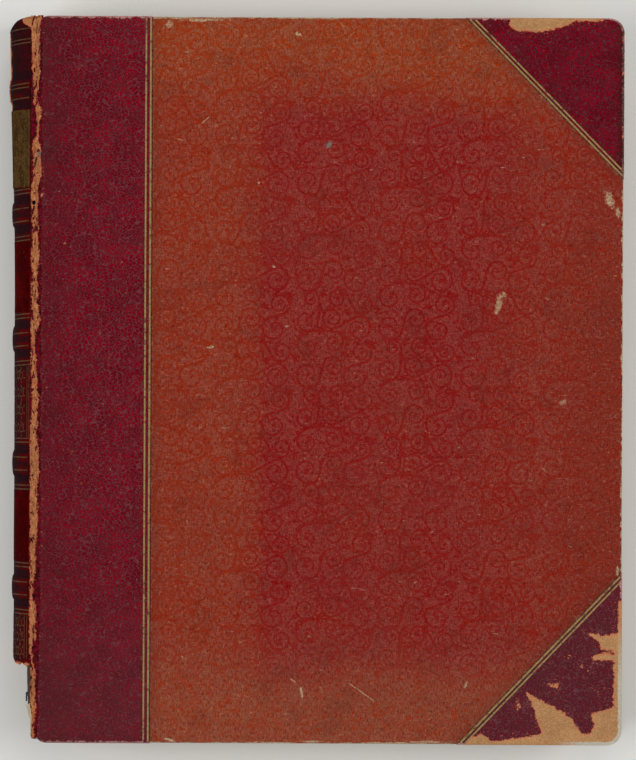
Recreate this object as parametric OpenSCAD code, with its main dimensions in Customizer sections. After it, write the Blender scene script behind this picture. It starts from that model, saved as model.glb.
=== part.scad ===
// Half-leather bound book with cloth sides, lying on its rear cover.
// +X points to the fore-edge, +Y to the head, +Z out of the front cover.

/* [Boards] */
// Height of each bare board, from head to tail
board_h = 278.4; // [200:0.2:340]
// Width of each bare board, from the joint to the fore-edge
board_w = 224.2; // [150:0.2:260]
// Thickness of each board
board_t = 3; // [2:0.1:5]
// Corner radius of a board at the fore-edge
fore_corner_r = 5; // [2:0.5:10]
// Corner radius of a board beside the joint
joint_corner_r = 3.5; // [1:0.5:5]
// How far the boards pass the pages at the head, tail and fore-edge
square_w = 3.5; // [2:0.25:6]

/* [Pages] */
// Thickness of all the pages together
pages_t = 29; // [20:0.5:40]
// Gap between the pages and a cover
page_gap = 0.2; // [0.1:0.05:0.5]
// How far the rounded back of the pages bulges
back_round = 2.6; // [1.5:0.1:3.2]
// How far the fore-edge of the pages is hollowed
fore_hollow = 3; // [1:0.5:6]
// Height of the backing shoulders over the pages
shoulder_h = 1.8; // [0.5:0.1:2.2]
// Width of the backing shoulders' slope
shoulder_w = 0.7; // [0.4:0.1:1]
// Thickness of the mull and paper glued to the back
lining_t = 0.4; // [0.2:0.1:0.8]
// How far the lining ends short of the head and tail of the pages
lining_inset = 6; // [2:1:15]
// Diameter of the sewing cords
cord_d = 1.6; // [1:0.1:2.4]
// Play round a cord in its sawn groove
cord_gap = 0.1; // [0.05:0.05:0.3]
// Diameter of the head and tail bands
endband_d = 2.6; // [1.6:0.1:3]

/* [Covering] */
// Thickness of the leather
leather_t = 0.8; // [0.6:0.1:1.2]
// Thickness of the cloth
cloth_t = 0.6; // [0.3:0.1:0.6]
// Thickness of the pared edges turned in behind a board
turn_in_t = 0.4; // [0.3:0.1:0.8]
// Width of the turned-in edges
turn_in_w = 15; // [8:1:25]
// Thickness of a lining paper
paper_t = 0.2; // [0.1:0.05:0.3]
// How far a lining paper stays inside its board
paper_inset = 3.5; // [2:0.5:7]
// Width of the leather on a board beside the joint
side_w = 43.2; // [25:0.2:60]
// Width of a leather corner at the head
head_corner_w = 61; // [40:1:80]
// Height of a leather corner at the head
head_corner_h = 62; // [40:1:80]
// Width of a leather corner at the tail
tail_corner_w = 63.5; // [40:0.5:80]
// Height of a leather corner at the tail
tail_corner_h = 66.5; // [40:0.5:80]

/* [Gilding] */
// Width of a gold line
line_w = 0.65; // [0.4:0.05:1]
// Depth of the groove that holds a gold line
line_depth = 0.2; // [0.1:0.05:0.3]
// How far the gold lies below the leather
line_sink = 0.05; // [0.02:0.01:0.08]
// Leather left outside the outer line of a pair
line_margin = 0.25; // [0.2:0.05:1]
// Step between the two lines beside the cloth
side_line_step = 1.75; // [1.2:0.05:3]
// Step between the two lines on a corner
corner_line_step = 1.4; // [1.1:0.05:3]

/* [Joints] */
// Width of the leather joint between spine and board
joint_w = 3.4; // [2.6:0.1:6]
// Clearance between joint leather and board leather
hinge_gap = 0.3; // [0.2:0.05:0.6]
// Depth of the groove along the joint
joint_dip = 0.4; // [0.1:0.1:0.8]
// How far the joint leather ends short of the boards
joint_inset = 2.5; // [1:0.5:6]

/* [Spine] */
// How far the spine leather bulges from joint to ridge
spine_rise = 7.2; // [5.5:0.1:9]
// Thickness of the card under the spine leather
inlay_t = 0.5; // [0.3:0.1:0.8]
// Number of raised bands
band_n = 5; // [3:1:5]
// Distance from the head of the boards to the first band
band_first = 28.3; // [20:0.1:40]
// Distance from band to band
band_pitch = 48.1; // [36:0.1:50]
// Width of a raised band
band_w = 9.4; // [6:0.1:12]
// Height of a raised band
band_h = 0.8; // [0.6:0.1:1.6]
// Distance from the middle of a band to each gold line on it
band_line = 2.5; // [1.5:0.1:3]
// Distance from the middle of a band to the first line beside it
panel_line = 8.3; // [7:0.1:11]
// Step between the two lines beside a band
panel_line_step = 1.5; // [1:0.1:2.5]
// Distance from the head of the boards to the single line there
head_line = 4.6; // [3.6:0.1:6]
// Distance from the head of the boards to the pair of lines there
head_pair = 9; // [7.5:0.1:11]
// Distance from the edge of the spine leather to the upright lines
frame_margin = 0.7; // [0.5:0.1:2]
// Step between two upright lines
frame_step = 2.3; // [1.2:0.1:4]
// Thickness of a label
label_t = 0.3; // [0.2:0.05:0.4]
// How far a label stays inside the gold lines round it
label_gap = 0.4; // [0.2:0.1:1]
// How far the head cap folds over the hollow of the spine
cap_w = 4; // [2.5:0.1:4.5]
// How far the head cap ends short of the boards
cap_inset = 1; // [0.5:0.1:2]
// Distance from the tail of the boards up to the torn end of the spine
tear_up = 32; // [10:1:45]
// How far the card inlay is torn back behind the leather
inlay_back = 2; // [0:0.5:5]

/* [Hidden] */
$fn = 96;
cover_t = leather_t + board_t + turn_in_t + paper_t;
z_top = 2 * (cover_t + page_gap) + pages_t;
z_mid = z_top / 2;
z_board = z_top - leather_t;
z_inside = z_board - board_t;
y_end = board_h / 2 + leather_t;
book_w = band_h + spine_rise + joint_w + board_w + leather_t;
x_fore = book_w / 2;
x_board = x_fore - leather_t;
x_edge = x_board - board_w;

// Rounded back of the pages
pages_half = y_end - square_w;
x_pages = x_edge - 0.5;
x_tip = x_pages - shoulder_w;
back_half = pages_t / 2 + shoulder_h;
back_r = (pow(back_half, 2) + pow(back_round, 2)) / (2 * back_round);
back_x = x_tip - back_round + back_r;
back_angle = asin((pages_t / 2 - 0.5) / back_r);
x_pages_fore = x_fore - square_w;
fore_r = (pow(pages_t / 2, 2) + pow(fore_hollow, 2)) / (2 * fore_hollow);

// Rounded spine
spine_half = z_mid - hinge_gap - band_h;
spine_r = (pow(spine_half, 2) + pow(spine_rise, 2)) / (2 * spine_rise);
spine_angle = asin(spine_half / spine_r);
spine_x = x_edge - joint_w - spine_rise + spine_r;
cap_y = y_end - cap_inset;
tear_y = tear_up - y_end;
frame_in = frame_margin + frame_step + line_w;

// Steps of the torn end of the spine leather, from the rear cover to the front cover
TEAR = [-5, -2.5, -3.5, 0, 1.5, 1.2, 2, 0.4, -0.6, -0.9, -0.6, -0.4];
CLEAR = 1;
BUMP = [-1, -0.95, -0.8, -0.4, 0, 0.4, 0.8, 0.95, 1];
LABELLED = [0, 1, 3];
FRAMED = [0, 2, 4];

function band_y(i) = y_end - band_first - i * band_pitch;
function arc_angle(length) = length / spine_r * 180 / PI;

// Share of a raised band's height at a place from -1 to 1 across it
function band_shape(u) = sqrt(cos(90 * u));

// Radius of the spine leather's outer face at a place along the spine
function bump_at(y, i = 0) = i == band_n ? 0
    : abs(y - band_y(i)) < band_w / 2 ? band_h * band_shape(2 * (y - band_y(i)) / band_w)
    : bump_at(y, i + 1);
function face_r(y) = spine_r + bump_at(y);

// The rear cover and rear joint mirror the front ones
module rear() {
    translate([0, 0, z_top]) mirror([0, 0, 1]) children();
}

// A section in X and Z, drawn out along the book's height
module along_y(half) {
    translate([0, half, 0]) rotate([90, 0, 0]) linear_extrude(2 * half) children();
}

// A section in radius and Y, turned about an axis beside the spine
module round_spine(x, half_angle) {
    translate([x, 0, z_mid]) rotate([-90, 0, 0]) rotate([0, 0, 180 - half_angle])
        rotate_extrude(angle = 2 * half_angle) children();
}

module rounded_plan(x0, x1, half, r0, r1) {
    translate([x0, r0 - half]) square([r0, 2 * (half - r0)]);
    translate([x0 + r0, -half]) square([x1 - x0 - r0 - r1, 2 * half]);
    translate([x1 - r1, r1 - half]) square([r1, 2 * (half - r1)]);
    for (side = [-1, 1]) {
        translate([x0 + r0, side * (half - r0)]) circle(r0);
        translate([x1 - r1, side * (half - r1)]) circle(r1);
    }
}

// Outline of a board, grown by the covering that wraps its three free edges
module covered_plan(grow) {
    intersection() {
        rounded_plan(x_edge - grow, x_board + grow, board_h / 2 + grow,
            joint_corner_r + grow, fore_corner_r + grow);
        translate([x_edge, -board_h]) square([2 * board_w, 2 * board_h]);
    }
}

// Area behind a board that the turned-in edges leave free
module inner_window(inset) {
    half = board_h / 2 - turn_in_w - inset;
    translate([x_edge - CLEAR, -half]) square([board_w - turn_in_w - inset + CLEAR, 2 * half]);
}

// Covering over a board, round its edges and turned in behind it
module skin(t) {
    difference() {
        translate([0, 0, z_inside - turn_in_t])
            linear_extrude(board_t + turn_in_t + t) covered_plan(t);
        translate([0, 0, z_inside]) linear_extrude(board_t) covered_plan(0);
        translate([0, 0, z_inside - turn_in_t - CLEAR])
            linear_extrude(turn_in_t + CLEAR) inner_window(0);
    }
}

module through() {
    translate([0, 0, -CLEAR]) linear_extrude(z_top + 2 * CLEAR) children();
}

module side_region() {
    translate([x_edge - CLEAR, -board_h]) square([side_w + CLEAR, 2 * board_h]);
}

// Corner beyond a slanting line that is moved in from the leather's edge
module corner_region(w, h, inset = 0) {
    reach = 0.3;
    far = 40;
    translate(inset * [h, w] / norm([w, h]))
        polygon([[x_fore - (1 + reach) * w, y_end + reach * h],
            [x_fore + reach * w, y_end - (1 + reach) * h], [x_fore + far, y_end + far]]);
}

module head_region(inset = 0) {
    corner_region(head_corner_w, head_corner_h, inset);
}

module tail_region(inset = 0) {
    mirror([0, 1, 0]) corner_region(tail_corner_w, tail_corner_h, inset);
}

module fillet_plan() {
    intersection() {
        union() for (i = [0, 1]) {
            at = line_margin + i * corner_line_step;
            translate([x_edge + side_w - line_margin - line_w - i * side_line_step, -board_h])
                square([line_w, 2 * board_h]);
            difference() {
                head_region(at);
                head_region(at + line_w);
            }
            difference() {
                tail_region(at);
                tail_region(at + line_w);
            }
        }
        covered_plan(0);
    }
}

module fillet_grooves() {
    translate([0, 0, z_top - line_depth]) linear_extrude(line_depth + CLEAR) fillet_plan();
}

module fillets() {
    translate([0, 0, z_top - line_depth]) linear_extrude(line_depth - line_sink) fillet_plan();
}

module board() {
    translate([0, 0, z_inside]) linear_extrude(board_t) covered_plan(0);
}

module leather_side() {
    difference() {
        intersection() {
            skin(leather_t);
            through() side_region();
        }
        fillet_grooves();
    }
}

module corner_head() {
    difference() {
        intersection() {
            skin(leather_t);
            through() head_region();
        }
        fillet_grooves();
    }
}

module corner_tail() {
    difference() {
        intersection() {
            skin(leather_t);
            through() tail_region();
        }
        fillet_grooves();
    }
}

module cloth() {
    difference() {
        skin(cloth_t);
        through() side_region();
        through() head_region();
        through() tail_region();
    }
}

// Lining paper, stepped over the turned-in edges
module pastedown() {
    half = board_h / 2 - paper_inset;
    difference() {
        translate([x_edge + paper_t, -half, z_inside - turn_in_t - paper_t])
            cube([board_w - paper_inset - paper_t, 2 * half, turn_in_t + paper_t]);
        translate([0, 0, z_inside - turn_in_t - paper_t - CLEAR])
            linear_extrude(turn_in_t + CLEAR) inner_window(paper_t);
        translate([0, 0, z_inside - turn_in_t]) linear_extrude(turn_in_t + CLEAR) difference() {
            covered_plan(0);
            inner_window(0);
        }
    }
}

// Section of the pages: rounded back with shoulders and hollow fore-edge
module pages_section() {
    low = z_mid - pages_t / 2;
    high = z_mid + pages_t / 2;
    x_far = x_tip - back_round - CLEAR;
    difference() {
        union() {
            translate([x_pages, low]) square([x_pages_fore - x_pages, pages_t]);
            intersection() {
                translate([back_x, z_mid]) circle(back_r, $fn = 360);
                polygon([[x_pages, low], [x_tip, low - shoulder_h], [x_far, low - shoulder_h],
                    [x_far, high + shoulder_h], [x_tip, high + shoulder_h], [x_pages, high]]);
            }
        }
        translate([x_pages_fore - fore_hollow + fore_r, z_mid]) circle(fore_r, $fn = 360);
    }
}

module text_block() {
    color("#cdbb96") difference() {
        along_y(pages_half) pages_section();
        round_spine(back_x, back_angle) for (i = [0:band_n - 1]) {
            translate([back_r - cord_d - 2 * cord_gap, band_y(i) - cord_d / 2 - cord_gap])
                square([cord_d + 2 * cord_gap + CLEAR, cord_d + 2 * cord_gap]);
        }
    }
}

module spine_lining() {
    half = pages_t / 2;
    color("#8c7a5c") along_y(pages_half - lining_inset) intersection() {
        difference() {
            translate([back_x, z_mid]) circle(back_r + lining_t, $fn = 360);
            translate([back_x, z_mid]) circle(back_r, $fn = 360);
        }
        translate([x_tip - back_round - 2, z_mid - half]) square([back_round + 2, 2 * half]);
    }
}

module sewing_cords() {
    color("#b59f78") round_spine(back_x, back_angle - 0.5) for (i = [0:band_n - 1]) {
        translate([back_r - cord_d / 2 - cord_gap, band_y(i)]) circle(d = cord_d, $fn = 24);
    }
}

module endband(side) {
    round_spine(back_x, back_angle - 1)
        translate([back_r - endband_d / 2, side * (pages_half + endband_d / 2)])
        circle(d = endband_d, $fn = 32);
}

module headband() {
    color("#5b6f96") endband(1);
}

module tailband() {
    color("#5b6f96") endband(-1);
}

// Everything below the torn end of the spine, in steps from rear to front
module lost_tail(shift = 0) {
    step = z_top / (len(TEAR) - 1);
    edge = [for (i = [0:len(TEAR) - 1]) [tear_y + TEAR[i] + shift, i * step]];
    translate([x_edge - book_w, 0, 0]) rotate([90, 0, 90]) linear_extrude(book_w)
        polygon(concat([[-2 * y_end, 0]], edge, [[-2 * y_end, z_top]]));
}

module spine_inlay() {
    color("#8a7350") difference() {
        round_spine(spine_x, spine_angle)
            translate([spine_r - leather_t - inlay_t, -y_end]) square([inlay_t, y_end + cap_y - cap_w]);
        lost_tail(inlay_back);
    }
}

// Section of one raised band, from the card up to the leather
module band_section(i) {
    base = spine_r - leather_t;
    polygon([for (u = BUMP) [base + band_h * band_shape(u), band_y(i) + u * band_w / 2]]);
}

module raised_bands() {
    color("#8a7350") round_spine(spine_x, spine_angle) for (i = [0:band_n - 1]) band_section(i);
}

// Sheet of leather over the bands, folded over the head of the spine
module spine_section() {
    outer = concat([[spine_r, -y_end]],
        [for (i = [band_n - 1:-1:0], u = BUMP)
            [spine_r + band_h * band_shape(u), band_y(i) + u * band_w / 2]],
        [[spine_r, cap_y - 2 * leather_t], [spine_r - 0.3 * leather_t, cap_y - leather_t],
        [spine_r - leather_t, cap_y - 0.3 * leather_t], [spine_r - 2 * leather_t, cap_y],
        [spine_r - cap_w, cap_y - 0.5 * leather_t], [spine_r - cap_w, cap_y - 1.5 * leather_t],
        [spine_r - 2 * leather_t, cap_y - leather_t], [spine_r - leather_t, cap_y - 2 * leather_t]]);
    inner = [for (i = [0:band_n - 1], u = BUMP)
        [spine_r - leather_t + band_h * band_shape(u), band_y(i) - u * band_w / 2]];
    polygon(concat(outer, inner, [[spine_r - leather_t, -y_end]]));
}

// Section of a gold line across the spine, between two depths under the leather's face
module ring(y, low, high) {
    y0 = y - line_w / 2;
    y1 = y + line_w / 2;
    polygon([[face_r(y0) - low, y0], [face_r(y0) - high, y0], [face_r(y1) - high, y1],
        [face_r(y1) - low, y1]]);
}

module all_rings(low, high) {
    ring(y_end - head_line, low, high);
    for (i = [0, 1]) ring(y_end - head_pair - i * panel_line_step, low, high);
    for (i = [0:band_n - 1], side = [-1, 1]) {
        ring(band_y(i) + side * band_line, low, high);
        ring(band_y(i) + side * panel_line, low, high);
        ring(band_y(i) + side * (panel_line + panel_line_step), low, high);
    }
}

// Upright gold lines on both sides of a panel below band i
module uprights(i, low, high) {
    top = band_y(i) - panel_line - panel_line_step - line_w;
    bottom = band_y(i + 1) + panel_line + panel_line_step + line_w;
    for (side = [-1, 1], k = [0, 1]) {
        along = spine_angle - arc_angle(frame_margin + k * frame_step + line_w / 2);
        translate([spine_x, 0, z_mid]) rotate([-90, 0, 0])
            rotate([0, 0, 180 + side * along - arc_angle(line_w / 2)])
            rotate_extrude(angle = arc_angle(line_w))
            translate([spine_r - low, bottom]) square([low - high, top - bottom]);
    }
}

module spine_gold(low, high) {
    round_spine(spine_x, spine_angle) all_rings(low, high);
    for (i = FRAMED) if (i < band_n) uprights(i, low, high);
}

module spine_leather() {
    color("#46100f") difference() {
        round_spine(spine_x, spine_angle) spine_section();
        spine_gold(line_depth, -CLEAR);
        lost_tail();
    }
}

module spine_gilding() {
    color("#b39a5c") difference() {
        spine_gold(line_depth, line_sink);
        lost_tail();
    }
}

// Label in the panel below band i
module label(i) {
    top = band_y(i) - panel_line - panel_line_step - line_w - label_gap;
    bottom = band_y(i + 1) + panel_line + panel_line_step + line_w + label_gap;
    round_spine(spine_x, spine_angle - arc_angle(frame_in + label_gap))
        translate([spine_r, bottom]) square([label_t, top - bottom]);
}

module gilt_label() {
    color("#554123") label(LABELLED[0]);
}

module upper_label() {
    color("#4d0d0d") label(LABELLED[1]);
}

module lower_label() {
    color("#4d0d0d") difference() {
        label(LABELLED[2]);
        lost_tail();
    }
}

// Strip of leather from the edge of the spine to just short of the board
module joint_strip() {
    inner = spine_r - leather_t;
    spine_out = [x_edge - joint_w, z_mid + spine_half];
    spine_in = [spine_x - inner * cos(spine_angle), z_mid + inner * sin(spine_angle)];
    board_out = [x_edge - hinge_gap, z_top - hinge_gap];
    board_in = board_out - [0, leather_t];
    dip = [0, -joint_dip];
    along_y(y_end - joint_inset)
        polygon([spine_in, spine_out, (spine_out + board_out) / 2 + dip, board_out, board_in,
            (spine_in + board_in) / 2 + dip]);
}

module front_joint() {
    color("#96603a") joint_strip();
}

module rear_joint() {
    color("#46100f") rear() joint_strip();
}

module front_board() {
    color("#9c9484") board();
}

module front_leather_side() {
    color("#641922") leather_side();
}

module front_corner_head() {
    color("#641922") corner_head();
}

module front_corner_tail() {
    color("#641922") corner_tail();
}

module front_cloth() {
    color("#842e27") cloth();
}

module front_fillets() {
    color("#b39a5c") fillets();
}

module front_pastedown() {
    color("#d8c8a4") pastedown();
}

module rear_board() {
    color("#9c9484") rear() board();
}

module rear_leather_side() {
    color("#641922") rear() leather_side();
}

module rear_corner_head() {
    color("#641922") rear() corner_head();
}

module rear_corner_tail() {
    color("#641922") rear() corner_tail();
}

module rear_cloth() {
    color("#842e27") rear() cloth();
}

module rear_fillets() {
    color("#b39a5c") rear() fillets();
}

module rear_pastedown() {
    color("#d8c8a4") rear() pastedown();
}

text_block();
spine_lining();
sewing_cords();
headband();
tailband();
spine_inlay();
raised_bands();
spine_leather();
gilt_label();
upper_label();
lower_label();
spine_gilding();
front_joint();
rear_joint();
front_board();
front_leather_side();
front_corner_head();
front_corner_tail();
front_cloth();
front_fillets();
front_pastedown();
rear_board();
rear_leather_side();
rear_corner_head();
rear_corner_tail();
rear_cloth();
rear_fillets();
rear_pastedown();
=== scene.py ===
import math
import random
from contextlib import contextmanager

import bmesh
import bpy
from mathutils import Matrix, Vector, noise


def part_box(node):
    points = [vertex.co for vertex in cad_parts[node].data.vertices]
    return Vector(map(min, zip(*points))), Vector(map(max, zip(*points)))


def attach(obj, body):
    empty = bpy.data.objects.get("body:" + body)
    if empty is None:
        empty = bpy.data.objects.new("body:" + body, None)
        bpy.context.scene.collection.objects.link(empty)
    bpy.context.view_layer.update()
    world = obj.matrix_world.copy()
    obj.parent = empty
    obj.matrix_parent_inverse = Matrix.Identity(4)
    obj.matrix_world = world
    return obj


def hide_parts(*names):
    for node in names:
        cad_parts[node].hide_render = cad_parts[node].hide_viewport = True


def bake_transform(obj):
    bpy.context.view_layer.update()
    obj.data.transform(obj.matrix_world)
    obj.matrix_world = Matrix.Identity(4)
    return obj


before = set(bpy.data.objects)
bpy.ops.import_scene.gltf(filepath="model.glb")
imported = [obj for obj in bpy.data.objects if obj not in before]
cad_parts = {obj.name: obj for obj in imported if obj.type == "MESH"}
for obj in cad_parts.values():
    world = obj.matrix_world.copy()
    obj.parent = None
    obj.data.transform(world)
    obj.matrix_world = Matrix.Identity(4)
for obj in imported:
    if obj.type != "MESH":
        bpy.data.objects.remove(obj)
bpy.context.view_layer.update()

bl_info = {
    "name": "Half-leather book",
    "version": (1, 0, 0),
    "blender": (4, 5, 0),
    "location": "View3D > Sidebar > Book",
    "description": "Dresses a half-leather book in worn leather, scroll cloth and dull gold",
    "category": "Object",
}

MM = 0.001


def box_mm(node):
    """Lowest and highest corner of a CAD node in millimetres."""
    return [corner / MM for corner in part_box(node)]


# Sizes read from the frame, in millimetres
EDGE_X = box_mm("front_board")[0].x  # spine edge of the covers
FORE_X = box_mm("front_corner_head")[1].x
SIDE_X, HEAD_Y, TOP_Z = box_mm("front_leather_side")[1]
CLOTH_Z = box_mm("front_cloth")[1].z
MID_Z = TOP_Z / 2
HEAD_CORNER = box_mm("front_corner_head")[0]  # inner ends of the corners' slanting edges
TAIL_CORNER = (box_mm("front_corner_tail")[0].x, box_mm("front_corner_tail")[1].y)
LINING_Z = box_mm("front_pastedown")[0].z
JOINT_X = box_mm("front_joint")[0].x

# Sizes that the part's source sets and no box shows, in millimetres
LEATHER = 0.8
HINGE_GAP = 0.3
JOINT_WIDTH = 3.4
JOINT_INSET = 2.5
JOINT_DIP = 0.4
SPINE_RISE = 7.2
BAND_HEIGHT = 0.8
SPINE_HALF = MID_Z - HINGE_GAP - BAND_HEIGHT
BAND_WIDTH = 9.4
BAND_PITCH = 48.1
BAND_FIRST = HEAD_Y - 28.3
BAND_COUNT = 5
BAND_LINE = 2.5
PANEL_LINE = 8.3
PANEL_STEP = 1.5
TORN_END = -109.2
RIM_RADIUS = 5.8
CLOTH = 0.6
JOINT_LEATHER = 0.7
SPINE_RADIUS = (SPINE_HALF**2 + SPINE_RISE**2) / (2 * SPINE_RISE)
SPINE_ANGLE = math.asin(SPINE_HALF / SPINE_RADIUS)
SPINE_X = EDGE_X - JOINT_WIDTH - SPINE_RISE + SPINE_RADIUS
SPINE_ARC = SPINE_RADIUS * SPINE_ANGLE

# What lies bare at the tail of the spine, in millimetres
REMAINS_LENGTH = 22
SCRAP_Y = -125.3
THREAD_Y = -121.0

# The gilt label reaches nearer to the first band than the plain ones do, in millimetres
GILT_TOP = 7.8
LABEL = 0.3

# The floor lies this much lower than the book, so that the rear cover shows when it is open
FLOOR_GAP = 0.5

# The photo's view, in millimetres: height over the book, width of a pixel, middle and turn
VIEW_HEIGHT = 1600
VIEW_PIXEL = 0.385
VIEW_PIXELS = 760
VIEW_MIDDLE = (0.75, 0.2)
VIEW_TURN = 0.27


def rgb(*channels):
    """Linear colour of an sRGB colour given in 0 to 255."""
    return [((c / 255 + 0.055) / 1.055) ** 2.4 if c > 10 else c / 255 / 12.92 for c in channels]


def colour_of(text, *value):
    """A colour that the panel lets the user set."""
    return bpy.props.FloatVectorProperty(
        name=text, description=f"Colour of the {text.lower()}", subtype="COLOR", size=3,
        min=0, max=1, default=rgb(*value),
    )


def length_of(text, note, value, low, high):
    """A length in millimetres that the panel lets the user set."""
    return bpy.props.FloatProperty(
        name=text, description=note, default=value * MM, min=low * MM, max=high * MM,
        unit="LENGTH", subtype="DISTANCE", precision=5,
    )


class BookColours(bpy.types.PropertyGroup):
    """Main colours of the book"""
    crimson: colour_of("Leather", 130, 0, 25)
    deep: colour_of("Darker pebbles of the leather", 96, 0, 15)
    # Dust and painted sheen: the creases' pale pink-grey also stands in for light that they reflect
    dust: colour_of("Dusty leather creases", 105, 44, 50)
    hide: colour_of("Bare hide", 180, 131, 86)
    torn_hide: colour_of("Torn rim of the hide", 196, 104, 76)
    cloth: colour_of("Cloth", 127, 41, 37)
    cloth_line: colour_of("Cloth scrolls", 126, 2, 4)
    faded_cloth: colour_of("Faded cloth", 138, 68, 43)
    faded_line: colour_of("Faded scrolls", 147, 44, 2)
    thread: colour_of("Worn cloth threads", 186, 168, 134)
    spine: colour_of("Spine leather", 38, 9, 14)
    spine_red: colour_of("Red leather beside the gold lines", 80, 0, 2)
    label: colour_of("Gilt label", 58, 38, 17)
    red_label: colour_of("Plain labels", 56, 0, 1)
    gold: colour_of("Gold lines on the covers", 166, 140, 88)
    dull_gold: colour_of("Gold lines on the spine", 87, 63, 29)
    paper: colour_of("Page edges", 205, 186, 148)
    lining: colour_of("Lining paper", 214, 200, 168)
    board: colour_of("Board", 168, 162, 148)
    blue: colour_of("Blue thread", 24, 40, 96)
    floor: colour_of("Floor", 222, 220, 215)


class BookSizes(bpy.types.PropertyGroup):
    """Sizes of what the scene adds to the part"""
    rim_softness: length_of("Rim softness", "Rounding of the covers' outer edges", 0.7, 0.2, 0.8)
    scroll_width: length_of("Scroll line width", "Width of the scroll lines", 1.25, 0.4, 1.6)
    scroll_relief: length_of("Scroll relief", "Height of the scroll lines", 0.06, 0.01, 0.1)
    tile_width: length_of("Tile width", "Width over which the scrolls repeat", 31.6, 20, 60)
    tile_height: length_of("Tile height", "Height over which the scrolls repeat", 37, 20, 60)
    gold_width: length_of("Gold line width", "Width of the gold lines on the spine", 0.42, 0.3, 1)
    flare: length_of("Spine flare", "How far the hollow spine leans out at the head", 2.5, 0, 3)


# Shader arithmetic

class Value:
    """A shader socket that Python operators work on."""

    def __init__(self, graph, socket):
        self.graph = graph
        self.socket = socket

    def __add__(self, other):
        return self.graph.math("ADD", self, other)

    __radd__ = __add__

    def __sub__(self, other):
        return self.graph.math("SUBTRACT", self, other)

    def __rsub__(self, other):
        return self.graph.math("SUBTRACT", other, self)

    def __mul__(self, other):
        return self.graph.math("MULTIPLY", self, other)

    __rmul__ = __mul__

    def __truediv__(self, other):
        return self.graph.math("DIVIDE", self, other)

    def __abs__(self):
        return self.graph.math("ABSOLUTE", self)

    def over(self, edge, soft):
        """0 below edge - soft, 1 above edge + soft, smooth between."""
        return self.graph.add("ShaderNodeMapRange", {"interpolation_type": "SMOOTHSTEP"},
                              {"Value": self, "From Min": edge - soft, "From Max": edge + soft})

    def under(self, edge, soft):
        """1 below edge - soft, 0 above edge + soft, smooth between."""
        return 1 - self.over(edge, soft)

    def least(self, other):
        """The smaller of two values."""
        return self.graph.math("MINIMUM", self, other)

    def most(self, other):
        """The larger of two values."""
        return self.graph.math("MAXIMUM", self, other)


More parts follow.
